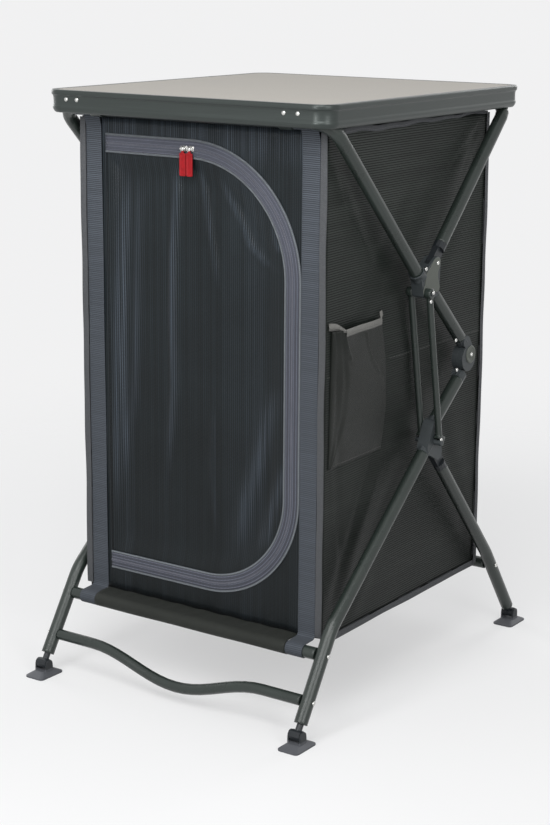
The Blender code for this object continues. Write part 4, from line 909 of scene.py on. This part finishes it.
outer_binding = band("zip_binding_outer", ((-0.0018, -0.0004), (-0.0022, 0.0006), (-0.0015, 0.0013),
                                           (-0.0003, 0.0017), (0.0010, 0.0015), (0.0019, 0.0010),
                                           (0.0021, 0.0003)), BINDING_CLOTH)
hang(outer_binding)
inner_binding = band("zip_binding_inner", ((0.0279, 0.0003), (0.0280, 0.0009), (0.0288, 0.0014),
                                           (0.0300, 0.0017), (0.0314, 0.0013), (0.0322, 0.0006),
                                           (0.0318, -0.0004)), BINDING_CLOTH)
hang(inner_binding, "door")


# Zip coils: dark grey nylon teeth that stand up along the meeting edges of the two tapes. Each half
# goes with its own tape, and the halves mesh where the door is shut.
TEETH_GREY = (0.140, 0.145, 0.175, 1.0)
TOOTH_PITCH = 0.0028


def lengths_along(line):
    """How far along a line each of its points lies."""
    return np.concatenate([[0.0], np.cumsum(np.linalg.norm(np.diff(line, axis=0), axis=1))])


def teeth(name, inset_low, inset_high, start, material):
    """A row of raised blocks along the door's edge between two insets, from start on, one each pitch."""
    line = np.array(door_line((inset_low + inset_high) / 2, step=0.004, steps=90))
    lengths = lengths_along(line)
    stations = np.arange(start, lengths[-1] - TOOTH_PITCH, TOOTH_PITCH)
    xs = np.interp(stations, lengths, line[:, 0])
    zs = np.interp(stations, lengths, line[:, 1])
    ahead = unit(np.stack([np.interp(stations + 0.0005, lengths, line[:, 0]) - xs,
                           np.interp(stations + 0.0005, lengths, line[:, 1]) - zs], axis=1))
    half_along, half_across = TOOTH_PITCH * 0.29, (inset_high - inset_low) / 2
    corners = []
    for out, along_share, across_share in ((0.0010, 1.0, 1.0), (0.0021, 0.6, 0.8)):
        for way, side_way in ((-1, -1), (1, -1), (1, 1), (-1, 1)):
            along, across = way * along_share * half_along, side_way * across_share * half_across
            corners.append(np.stack([xs + ahead[:, 0] * along - ahead[:, 1] * across,
                                     np.full(len(xs), -WALL_Y - out),
                                     zs + ahead[:, 1] * along + ahead[:, 0] * across], axis=1))
    points = np.stack(corners, axis=1).reshape(-1, 3)
    faces = []
    for k in range(len(xs)):
        b = 8 * k
        faces += [(b, b + 1, b + 5, b + 4), (b + 1, b + 2, b + 6, b + 5), (b + 2, b + 3, b + 7, b + 6),
                  (b + 3, b, b + 4, b + 7), (b + 4, b + 5, b + 6, b + 7), (b + 3, b + 2, b + 1, b)]
    mesh = bpy.data.meshes.new(name)
    mesh.from_pydata(points.tolist(), [], faces)
    return link(name, mesh, material, smooth=False)


COIL_NYLON = moulded("coil_nylon", TEETH_GREY, 0.34, 0.00002)
teeth_frame = hang(teeth("zip_teeth_outer", 0.0132, 0.0156, 0.0010, COIL_NYLON))
teeth_door = hang(teeth("zip_teeth_inner", 0.0147, 0.0171, 0.0010 + TOOTH_PITCH / 2, COIL_NYLON),
                  "door")


# Zip sliders: two small bright cast sliders, nose to nose at the head of the door. Each has a shield, a
# crown, and two ears with a pin that holds a puller.
SLIDERS = (("left", -0.0305), ("right", -0.0160))
SLIDER_Z, PIN_Y = 0.98285, -0.2802


def rounded_block(low, high, ease, segments=3):
    shape = bmesh.new()
    bmesh.ops.create_cube(shape, size=1.0)
    low, high = Vector(low), Vector(high)
    for vert in shape.verts:
        vert.co = Vector([(high[k] + low[k]) / 2 + vert.co[k] * (high[k] - low[k]) for k in range(3)])
    bmesh.ops.bevel(shape, geom=shape.edges[:], offset=ease, segments=segments, profile=0.5, affect='EDGES')
    return as_mesh(shape, "block")


for side, x in SLIDERS:
    parts = [rounded_block((x - 0.0068, -WALL_Y - 0.0034, SLIDER_Z - 0.0046),
                           (x + 0.0068, -WALL_Y - 0.0003, SLIDER_Z + 0.0052), 0.0022),
             rounded_block((x - 0.0030, -WALL_Y - 0.0082, SLIDER_Z - 0.0034),
                           (x + 0.0030, -WALL_Y - 0.0028, SLIDER_Z + 0.0038), 0.0018, 4)]
    for ear in (x - 0.0046, x + 0.0046):
        parts.append(rounded_block((ear - 0.0009, -WALL_Y - 0.0070, SLIDER_Z - 0.0026),
                                   (ear + 0.0009, -WALL_Y - 0.0030, SLIDER_Z + 0.0030), 0.0007, 2))
    parts.append(turned(((-0.0058, 0.0010), (0.0058, 0.0010)), (x, PIN_Y, SLIDER_Z), (1, 0, 0), 12))
    slider = joined("slider_" + side, parts, ZINC_STEEL, "zip_slider_" + side)
    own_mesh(slider)
    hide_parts("zip_slider_" + side)


# Pullers: soft red plastic tabs, moulded with a raised rim and a long sunk slot. The neck at the head of
# each ends in an eye that turns on its slider's pin.
PULL_RED, PULL_WORN = (0.315, 0.008, 0.012, 1.0), (0.40, 0.030, 0.030, 1.0)


def soft_red():
    material, tree = finish_of("soft_red", PULL_RED, 0.45, 0.0, Specular_IOR_Level=0.2)
    place = object_place(tree)
    cloud = cloudy(tree, place, 160.0)
    grain = cloudy(tree, place, 2500.0, 1.0)
    shade = worn_edges(tree, mottled(tree, cloud, PULL_RED, 0.82, 1.2), PULL_WORN, 0.4, 0.0006)
    return connect(material, Base_Color=shade, Roughness=between(tree, cloud, 0.38, 0.52),
                   Normal=raise_skin(tree, grain, 0.00003))


SOFT_RED = soft_red()
TAB_TOP, TAB_LOW, TAB_HALF = SLIDER_Z - 0.0066, SLIDER_Z - 0.0465, 0.0067
TAB_THICK = 0.0012
# inset from the outline and share of the thickness, from the slot on one face round the rim to the other
TAB_SECTION = ((0.0036, -0.35), (0.0030, -0.35), (0.0026, -0.55), (0.0018, -1.0), (0.0006, -1.0),
               (0.0001, -0.7), (0.0, 0.0), (0.0001, 0.7), (0.0006, 1.0), (0.0018, 1.0),
               (0.0026, 0.55), (0.0030, 0.35), (0.0036, 0.35))
for side, x in SLIDERS:
    rows = []
    for inset, share in TAB_SECTION:
        outline = round_corners((-TAB_HALF + inset, TAB_LOW + inset), (TAB_HALF - inset, TAB_TOP - inset),
                                max(0.0008, 0.0026 - inset), 5)
        rows.append([(x + u, PIN_Y + share * TAB_THICK, z) for u, z in outline])
    tab = skin("puller_" + side, rows, SOFT_RED, wrap=True, caps=True)
    shape = bmesh.new()
    shape.from_mesh(tab.data)
    for part in (rounded_block((x - 0.0024, PIN_Y - 0.0013, TAB_TOP - 0.0012),
                               (x + 0.0024, PIN_Y + 0.0013, SLIDER_Z - 0.0008), 0.0006, 2),
                 turned(((-0.0025, 0.0020), (0.0025, 0.0020)), (x, PIN_Y, SLIDER_Z), (1, 0, 0), 16)):
        shape.from_mesh(part)
        bpy.data.meshes.remove(part)
    bmesh.ops.recalc_face_normals(shape, faces=shape.faces)
    shape.to_mesh(tab.data)
    shape.free()
    hang(tab, "zip_puller_" + side)
    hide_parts("zip_puller_" + side)


# Side walls: mesh cloth with the thick threads lying level, bound at the corners and along the foot. It is
# drawn in between the corners, above and below the shelf, with tension creases at its corners.
SIDE_DARK = (0.0025, 0.0033, 0.0030, 1.0)
SIDE_THREAD = (0.0205, 0.0285, 0.0225, 1.0)
# Its paler streak tone is a painted highlight.
SIDE_NET = net("side_mesh_cloth", SIDE_THREAD, SIDE_DARK, 0.0024, 0.0042, 0.0, 0.33,
               (1.0, 4.0, 40.0), (0.060, 0.070, 0.062, 1.0))
SHELF_Z = 0.616
WALL_HALF, BACK_HALF = 0.2722, 0.2575
CREASES = (
    # y and z of one end, y and z of the other, half width, depth
    (-0.24, 1.00, -0.02, 0.70, 0.016, 0.0022), (0.25, 1.00, 0.06, 0.66, 0.020, 0.0020),
    (-0.22, 0.64, 0.03, 0.95, 0.018, 0.0016), (-0.25, 0.19, -0.05, 0.52, 0.014, 0.0030),
    (-0.21, 0.17, 0.02, 0.45, 0.018, 0.0022), (0.26, 0.19, 0.10, 0.50, 0.020, 0.0020),
    (0.05, 0.60, 0.22, 0.35, 0.022, 0.0014), (-0.24, 0.58, -0.20, 0.22, 0.010, 0.0022),
    (0.268, 1.010, 0.190, 0.880, 0.0065, 0.0024), (0.262, 1.012, 0.130, 0.930, 0.0070, 0.0020),
    (-0.262, 1.010, -0.180, 0.860, 0.0080, 0.0018), (0.20, 0.98, 0.02, 0.955, 0.010, 0.0012),
)


def crease_depth(u, v, creases):
    """Straight tension creases: each a furrow with a low ridge beside it, fading at both ends."""
    total = 0.0
    for ua, va, ub, vb, half, depth in creases:
        du, dv = ub - ua, vb - va
        length = hypot(du, dv)
        along = ((u - ua) * du + (v - va) * dv) / (length * length)
        off = ((u - ua) * dv - (v - va) * du) / length
        ends = eased(along, -0.05, 0.15) * (1 - eased(along, 0.6, 1.05))
        total += depth * ends * (np.exp(-(off / half) ** 2) - 0.6 * np.exp(-((off - 1.8 * half) / half) ** 2))
    return total


def drawn_in(u, v, half, low, creases):
    """How far a wall's cloth stands in at (u, v): its two bays, the creases and small waves."""
    across = sin(pi * (u + half) / (2 * half))
    bay = abs(sin(pi * (v - SHELF_Z) / ((HEM_Z - SHELF_Z) if v > SHELF_Z else (SHELF_Z - low))))
    seam = np.exp(-((v - SHELF_Z) / 0.004) ** 2)
    bow = 0.0060 * across * bay + 0.0006 * seam * across
    wave = 0.0005 * noise.noise(Vector((u * 9, v * 5, 3.0)))
    return max(0.0, bow + eased(across, 0.02, 0.35) * (crease_depth(u, v, creases) + wave + 0.0010))


def wall(name, half, foot, place, creases):
    """A wall from its foot line up to the hem: place(u, v, depth) gives the point, depth being inwards."""
    columns, levels = 60, 110
    lines = [(u, foot(u)) for u in np.linspace(-half, half, columns + 1)]
    rows = []
    for j in range(levels + 1):
        heights = [(u, low, low + (HEM_Z - 0.002 - low) * j / levels) for u, low in lines]
        rows.append([place(u, v, drawn_in(u, v, half, low, creases)) for u, low, v in heights])
    return thicken(skin(name, rows, SIDE_NET), CLOTH_THICK)


def side_foot(y):
    return floor_z(y) - 0.0086


for side, sign in SIDES:
    own_creases = [(*crease[:5], crease[5] * (1.0 if sign > 0 else 0.8)) for crease in CREASES]
    cloth = wall("side_mesh_" + side, WALL_HALF, side_foot,
                 lambda u, v, depth: (sign * (WALL_X - 0.0006 - depth), u, v), own_creases)
    hang(cloth)
    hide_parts("side_panel_" + side)


# Back wall: the same cloth as the side walls, hemmed round the rear top bar as the front is. It doesn't
# show in the photograph.
BACK_CREASES = (
    (-0.24, 1.00, -0.05, 0.68, 0.018, 0.0022), (0.24, 1.00, 0.06, 0.70, 0.018, 0.0022),
    (-0.24, 0.19, -0.08, 0.50, 0.016, 0.0024), (0.24, 0.19, 0.09, 0.52, 0.016, 0.0024),
    (-0.05, 0.20, -0.02, 0.55, 0.030, 0.0014),
)
back = wall("back_mesh", BACK_HALF, lambda x: floor_z(WALL_Y) + 0.0003,
            lambda u, v, depth: (u, WALL_Y - 0.0006 - depth, v), BACK_CREASES)
hang(back)
back_hem = hang(sleeve("back_top_hem", (BAR_Y, BAR_Z), radians(-70), radians(180),
                       [(WALL_Y - 0.0022, HEM_Z), (WALL_Y - 0.0024, 1.010)], SIDE_NET))
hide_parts("back_panel")


# Corner and foot bindings: pale grey strap folded over the raw edges of two walls and sewn through. They
# stand off the corners as flat soft fins, and a row of stitches runs along each.
SEAM_TOP = 1.026
FIN_SECTION = ((0.0, -1.0), (0.55, -1.0), (0.9, -0.85), (1.0, -0.35),
               (1.0, 0.35), (0.9, 0.85), (0.55, 1.0), (0.0, 1.0))
EDGE_GREY = (0.122, 0.127, 0.136, 1.0)
EDGE_CLOTH = strap_cloth("edge_cloth", EDGE_GREY, 0.6, 0.0015, (0.0030,), tinted(EDGE_GREY, 1.7))


def fin(name, path, out, face, width, thick, wander=0.0006):
    """A binding: path is a line of points, out the way it stands off, face its flat side's way."""
    out, face = Vector(out), Vector(face)
    rows = []
    for length, point in zip(lengths_along(path), path):
        sway = wander * (sin(length * 21) + 0.6 * sin(length * 47 + 1))
        swell = thick / 2 * (1.0 + 0.12 * sin(length * 33 + 2))
        reach = width * (1 + 0.04 * sin(length * 27))
        rows.append([Vector(point) + out * (reach * a) + face * (swell * b + sway) for a, b in FIN_SECTION])
    return skin(name, [list(line) for line in zip(*rows)], EDGE_CLOTH)


corner_bindings = []
for side, sign in SIDES:
    front_line = [(sign * 0.2505, -0.2757, z) for z in np.linspace(floor_z(-WALL_Y) + 0.003, SEAM_TOP, 61)]
    rear_line = [(sign * 0.2598, 0.2640, z) for z in np.linspace(floor_z(WALL_Y) - 0.010, SEAM_TOP, 61)]
    foot_line = [(sign * 0.2592, y, side_foot(y) + 0.0060) for y in np.linspace(-0.268, 0.272, 70)]
    corner_bindings += [
        fin("corner_binding_front_" + side, front_line, (sign, -0.08, 0), (0, -1, 0), 0.0128, 0.0030),
        fin("corner_binding_rear_" + side, rear_line, (0, 1, 0), (sign, 0, 0), 0.0130, 0.0030),
        fin("foot_binding_" + side, foot_line, (0, 0, -1), (sign, 0, 0), 0.0120, 0.0032, 0.0005)]
for binding in corner_bindings:
    hang(binding)


# Corner straps: heavy grey webbing, woven with fine level ribs. Each is looped round the top bar and
# round the crossbar and sewn down, so that it carries the cabinet.
WEBBING_GREY = (0.088, 0.101, 0.121, 1.0)
STRAP_LOW, STRAP_HIGH = 0.2142, 0.2495
STRAP_RING, CUFF_RING = 0.01305, 0.01205
STRAP_THICK = 0.0014
# across the strap from 0 to 1, and out from its middle in thicknesses
STRAP_SECTION = ((0.0, 0.25), (0.02, 0.5), (0.25, 0.5), (0.5, 0.5), (0.75, 0.5), (0.98, 0.5), (1.0, 0.25),
                 (1.0, -0.25), (0.98, -0.5), (0.75, -0.5), (0.5, -0.5), (0.25, -0.5), (0.02, -0.5),
                 (0.0, -0.25), (0.0, 0.25))
WEBBING_CLOTH = strap_cloth("webbing_cloth", WEBBING_GREY, 0.22, 0.0034, (0.0030, 0.0325),
                            tinted(WEBBING_GREY, 1.7), rib=WHOLE_LENGTH)


def strap(name, line, x_low, x_high):
    """Flat webbing along a line in the side plane: a closed strip with rounded selvedges."""
    line = np.array(line)
    ahead = unit(np.gradient(line, axis=0))
    off = np.stack([-ahead[:, 1], ahead[:, 0]], axis=1)
    length = lengths_along(line)
    ends = np.clip(np.minimum(length, length[-1] - length) / 0.1, 0, 1)
    rows = []
    for across, out in STRAP_SECTION:
        sway = 0.0004 * np.sin(length * 19 + across * 2.2) * ends
        side_line = line + off * (out * STRAP_THICK + sway)[:, None]
        rows.append([(x_low + (x_high - x_low) * across, y, z) for y, z in side_line])
    return skin(name, rows, WEBBING_CLOTH)


front_face = -WALL_Y - 0.00105
strap_line = bend(-BAR_Y, BAR_Z, STRAP_RING, radians(250), 0.0, 26)
strap_line += [(front_face, z) for z in np.linspace(1.012, FRONT_BAR[1] + 0.0240, 110)]
strap_line += bend(front_face - 0.0080, FRONT_BAR[1] + 0.0210, 0.0080, radians(-15), radians(-85), 6)
strap_line += bend(*FRONT_BAR, CUFF_RING, radians(84), radians(330), 30)
for side, sign in SIDES:
    x_low, x_high = sorted((sign * STRAP_LOW, sign * STRAP_HIGH))
    webbing = hang(strap("webbing_strap_" + side, strap_line, x_low, x_high))
    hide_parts("webbing_" + side)


# Floor: dark olive woven canvas, coated, stretched between the crossbars with a sewn sleeve round each.
# It sags a little between them and puckers along the seam where the front wall is sewn on.
CANVAS_OLIVE = (0.024, 0.027, 0.023, 1.0)
SLEEVE_HALF, SLEEVE_RING, FLOOR_HALF = 0.2135, 0.0126, 0.2545
CANVAS_THICK = 0.0010


def woven(name, colour, pitch, gloss, depth, sheen=0.03):
    """Plain woven cloth: over-and-under threads of a real pitch, slubs and a little cloudiness."""
    material, tree = finish_of(name, colour, gloss, 0.0, Specular_IOR_Level=0.25, Sheen_Weight=sheen,
                               Sheen_Roughness=0.4)
    yarn = (pitch * 2, pitch, pitch * 0.16, tinted(colour, 0.88), tinted(colour, 1.12), tinted(colour, 0.5))
    coords = uv_place(tree)
    warp, warp_height = weave(tree, coords, *yarn)
    weft, weft_height = weave(tree, uv_place(tree, pi / 2), *yarn)
    checks = put(tree, "TexChecker", {0: coords, 3: 1.0 / pitch}).outputs["Fac"]
    shade = blend_colour(tree, checks, warp, weft)
    height = maths(tree, 'MULTIPLY', warp_height, weft_height)
    place = object_place(tree)
    cloud = cloudy(tree, place, 12.0, 5.0)
    shade = blend_colour(tree, between(tree, cloud, 0.0, 0.35), shade, tinted(colour, 0.66))
    creased = cloudy(tree, place, 90.0, 3.0)
    return connect(material, Base_Color=shade, Roughness=between(tree, cloud, gloss - 0.06, gloss + 0.08),
                   Normal=raise_skin(tree, creased, 0.0004, 0.5, raise_skin(tree, height, depth)))


CANVAS = woven("floor_canvas", CANVAS_OLIVE, 0.0012, 0.62, 0.00016)
floor_line = bend(*FRONT_BAR, SLEEVE_RING, radians(370), radians(90), 30)
for start, end, count in ((-0.296, -0.2735, 6), (-0.2705, 0.2705, 60), (0.2735, 0.288, 4)):
    floor_line += [(y, floor_z(y) - 0.0012) for y in np.linspace(start, end, count)]
floor_line += bend(*REAR_BAR, SLEEVE_RING, radians(90), radians(-190), 30)
rows = []
for index, (y, z) in enumerate(floor_line):
    inner = abs(y) < 0.2710
    half = FLOOR_HALF if inner else SLEEVE_HALF
    sag = 0.0055 * cos(y / 0.2705 * pi / 2) ** 0.7 if inner else 0.0
    pucker = 0.0006 * eased(abs(y), 0.20, 0.27)
    round_bar = index < 31
    bar = Vector((y - FRONT_BAR[0], z - FRONT_BAR[1]) if round_bar else (0.0, 1.0)).normalized()
    row = []
    for k in range(73):
        x = -half + 2 * half * k / 72
        edge = 1 - (2 * abs(k / 72 - 0.5)) ** 6
        wave = 0.0002 * sin(x * 37) if round_bar else pucker * (sin(x * 230) + 0.7 * sin(x * 117 + 1.0))
        row.append((x, y + bar.x * wave, z + bar.y * max(wave, -0.0004) - sag * edge))
    rows.append(row)
canvas = thicken(skin("floor_canvas", rows, CANVAS), CANVAS_THICK)
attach(canvas, "cabinet")
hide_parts("floor_panel")


# Shelf: a thin board in a sewn cloth cover, with a piped edge, held at shelf height by the seams
# in the side walls. A row of pale stitches shows outside where each wall is sewn to it.
SHELF_CLOTH = woven("shelf_cloth", (0.030, 0.034, 0.034, 1.0), 0.0010, 0.66, 0.00012)
# inset from the edge and height over the middle, from the middle of one face round the piping to the other
SHELF_SECTION = ((0.010, -0.0026), (0.006, -0.0024), (0.0050, -0.0026), (0.002, -0.0028), (0.0003, -0.0016),
                 (0.0, 0.0), (0.0003, 0.0016), (0.002, 0.0028), (0.0050, 0.0026), (0.006, 0.0022),
                 (0.010, 0.0025))
SHELF_HALF, SHELF_FRONT, SHELF_REAR, SHELF_CORNER = 0.2525, -0.2585, 0.2640, 0.008
shelf_rows = []
for inset, height in SHELF_SECTION:
    outline = round_corners((-SHELF_HALF + inset, SHELF_FRONT + inset),
                            (SHELF_HALF - inset, SHELF_REAR - inset), SHELF_CORNER, 5)
    shelf_rows.append([(x, y, SHELF_Z + height) for x, y in outline])
shelf = hang(skin("shelf_board", shelf_rows, SHELF_CLOTH, wrap=True, caps=True))
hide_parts("shelf")
STITCH_GREY = (0.20, 0.20, 0.195, 1.0)
THREAD = woven("seam_thread", STITCH_GREY, 0.0006, 0.7, 0.00005)
THREAD_HALF = 0.00045


def stitches(name, points, out):
    """A row of thread stitches that lie on the cloth: small rounded bars between pairs of points."""
    shape = bmesh.new()
    out = Vector(out)
    half_round = [(cos(pi * k / 4), max(0.0, sin(pi * k / 4))) for k in range(5)]
    for start, end in points:
        start, end = Vector(start), Vector(end)
        side_way = (end - start).normalized().cross(out).normalized()
        rings = []
        for share, size in ((0.0, 0.35), (0.18, 0.9), (0.5, 1.0), (0.82, 0.9), (1.0, 0.35)):
            centre = start.lerp(end, share)
            rings.append([shape.verts.new(centre + (side_way * a + out * b) * THREAD_HALF * size)
                          for a, b in half_round])
        for low, high in zip(rings, rings[1:]):
            for k in range(4):
                shape.faces.new((low[k], low[k + 1], high[k + 1], high[k]))
    mesh = as_mesh(shape, name)
    mesh.uv_layers.new(name="metres")
    return link(name, mesh, THREAD)


def wall_x(y, z):
    """Where a side wall's face is, for what is sewn on it."""
    return WALL_X - 0.0006 - drawn_in(y, z, WALL_HALF, side_foot(y), CREASES)


for side, sign in SIDES:
    spots = []
    for y in np.arange(-0.262, 0.262, 0.0052):
        if sign > 0 and -0.252 < y < -0.060:
            continue
        spots.append([(sign * (wall_x(t, SHELF_Z) + 0.0006), t, SHELF_Z + 0.0004 * sin(t * 90))
                      for t in (y, y + 0.0036)])
    hang(stitches("shelf_stitches_" + side, spots, (sign, 0, 0)))


# Side hems: the top edge of each side wall is turned over a pale tape and hangs free just under the
# worktop, so it waves and rolls a little between the corners.


def hem_row(sign, share):
    """One line along the hem, share 0 at its lower edge and 1 at its rolled top."""
    line = []
    for y in np.linspace(-0.2660, 0.2660, 90):
        jitter = noise.noise(Vector((y * 40, 0.3, sign)))
        top = 1.0300 + 0.0013 * sin(y * 31 + 1.0) + 0.0009 * sin(y * 67) + 0.0006 * jitter
        tall = 0.0105 - 0.0045 * eased(y, -0.08, 0.20)
        z = top - tall * (1 - share)
        flare = 0.0030 * share ** 2 * (0.7 + 0.3 * sin(y * 43 + 2))
        roll = 0.0016 * max(0.0, share - 0.85) / 0.15
        line.append((sign * (wall_x(y, min(z, HEM_Z)) + 0.0010 + flare - roll), y, z))
    return line


for side, sign in SIDES:
    hem = skin("side_top_hem_" + side, [hem_row(sign, k / 8) for k in range(9)], EDGE_CLOTH)
    hang(thicken(hem, TAPE_THICK))


# Side pocket: smooth dark polyester, a flat front with a pleated side that opens at the mouth. The mouth
# has a pale binding whose ends run on as two tabs, sewn to the wall above it.
POCKET_CLOTH = woven("pocket_cloth", (0.0100, 0.0125, 0.0100, 1.0), 0.0006, 0.36, 0.00005, 0.05)
POCKET_TOP, POCKET_FOOT, POCKET_THICK = 0.694, 0.455, 0.0006
POCKET_LEVELS = (0.0, 0.15, 0.36, 0.60, 0.78, 1.0)
FRONT_EDGE = (-0.2530, -0.2300, -0.2090, -0.2065, -0.2120, -0.2270)
REAR_EDGE = (-0.0800, -0.0745, -0.0715, -0.0790, -0.0870, -0.0975)
CRESCENT = ((-0.1560, 0.6800), (-0.1480, 0.6550), (-0.1320, 0.6280), (-0.1040, 0.6000))
FOLD_OVER = ((-0.2300, 0.6860), (-0.2180, 0.6620), (-0.2060, 0.6400))
# the pleated side: share of its width, and how far out it stands there
GUSSET = ((0.0, 0.0), (0.10, 0.30), (0.22, 0.42), (0.34, 0.36), (0.46, 0.52), (0.58, 0.74), (0.70, 0.70),
          (0.82, 0.78), (0.93, 0.95))
FACE_SPAN = slice(9, -3)


def furrow(y, z, line, way, high, half, deep, wide):
    """A crease along a line: a narrow ridge, and a wide hollow on one side of it."""
    gap, _, side_of = near_line(y, z, line)
    hollow = deep * np.exp(-(gap / wide) ** 2) if side_of == way else 0.0
    return high * np.exp(-(gap / half) ** 2) - hollow


def pocket_row(share):
    """One level of the pouch, from the front seam round the face to the rear seam, 0 foot to 1 mouth."""
    z = POCKET_FOOT + (POCKET_TOP - POCKET_FOOT) * share
    near = float(np.interp(share, POCKET_LEVELS, FRONT_EDGE))
    far = float(np.interp(share, POCKET_LEVELS, REAR_EDGE))
    seam = -0.2560 + 0.0040 * share
    deep = 0.0022 + 0.0128 * share ** 0.7
    back_deep = 0.0016 + 0.0050 * share
    spots = []
    for part, out in GUSSET:
        ripple = 0.0010 * sin(share * 14 + part * 9) * share
        spots.append((seam + (near - seam) * part, deep * out + ripple * sin(pi * part)))
    for part in np.linspace(0.0, 1.0, 45):
        sag = 0.0016 * sin(pi * part) * sin(pi * share)
        spots.append((near + (far - near) * part, deep + (back_deep - deep) * part ** 1.3 + sag))
    for extra, out in ((0.0016, 0.75), (0.0018, 0.4), (0.0012, 0.0)):
        spots.append((far + extra, back_deep * out))
    row = []
    for y, out in spots:
        crease = furrow(y, z, CRESCENT, -1.0, 0.0024, 0.0032, 0.0022, 0.016)
        crease += furrow(y, z, FOLD_OVER, 1.0, 0.0020, 0.0030, 0.0014, 0.010)
        held = min(1.0, out / 0.004) * (1 - eased(share, 0.965, 0.99))
        row.append((wall_x(y, z) + 0.0008 + max(0.0, out + crease * held), y, z))
    return row


pouch = skin("pocket_pouch", [pocket_row(k / 60) for k in range(61)], POCKET_CLOTH)
hang(thicken(pouch, POCKET_THICK))
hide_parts("side_pocket")
mouth_line = pocket_row(1.0)[FACE_SPAN]
rows = []
for lift, out in ((-0.0112, 0.0011), (-0.0110, 0.0017), (-0.006, 0.0021), (0.0, 0.0019), (0.0014, 0.0006),
                  (0.0010, -0.0008), (-0.004, -0.0014), (-0.0105, -0.0012)):
    rows.append([(x + out, y, z + lift) for x, y, z in mouth_line])
MOUTH_GREY, MOUTH_THREAD = (0.330, 0.325, 0.305, 1.0), (0.45, 0.44, 0.42, 1.0)
MOUTH_CLOTH = strap_cloth("mouth_cloth", MOUTH_GREY, 0.6, 0.0015, (0.0030,), MOUTH_THREAD)
hem = hang(skin("pocket_binding", rows, MOUTH_CLOTH))
FRONT_TAB = ((-0.2360, 0.6990, 0.0052), (-0.2440, 0.7010, 0.0062),
             (-0.2520, 0.7020, 0.0066), (-0.2600, 0.7030, 0.0062))
REAR_TAB = ((-0.0952, 0.6965, 0.0040), (-0.0930, 0.6995, 0.0040),
            (-0.0915, 0.7025, 0.0040), (-0.0905, 0.7055, 0.0036))
for name, (x, y, z), line, lean, rise in (("front", mouth_line[0], FRONT_TAB, 0.0, 1.0),
                                          ("rear", mouth_line[-1], REAR_TAB, 1.0, 0.3)):
    rows = [[(x + 0.0008, y, z - 0.0040), (x + 0.0014, y, z - 0.0015), (x + 0.0008, y, z + 0.0010)]]
    for step, (y, z, half) in enumerate(line):
        x = wall_x(y, z) + 0.0014 + 0.0050 * (3 - step) / 3
        rows.append([(x, y - half * lean, z - half * rise), (x + 0.0009, y, z),
                     (x, y + half * lean, z + half * rise)])
    hang(thicken(skin("pocket_tab_" + name, rows, MOUTH_CLOTH), STRAP_THICK))
foot_line = [Vector(point) + Vector((POCKET_THICK, 0, 0)) for point in pocket_row(0.02)[FACE_SPAN]]
foot_seam = [(start, start.lerp(end, 0.75)) for start, end in zip(foot_line, foot_line[1:])]
hang(stitches("pocket_stitches", foot_seam, (1, 0, 0)))
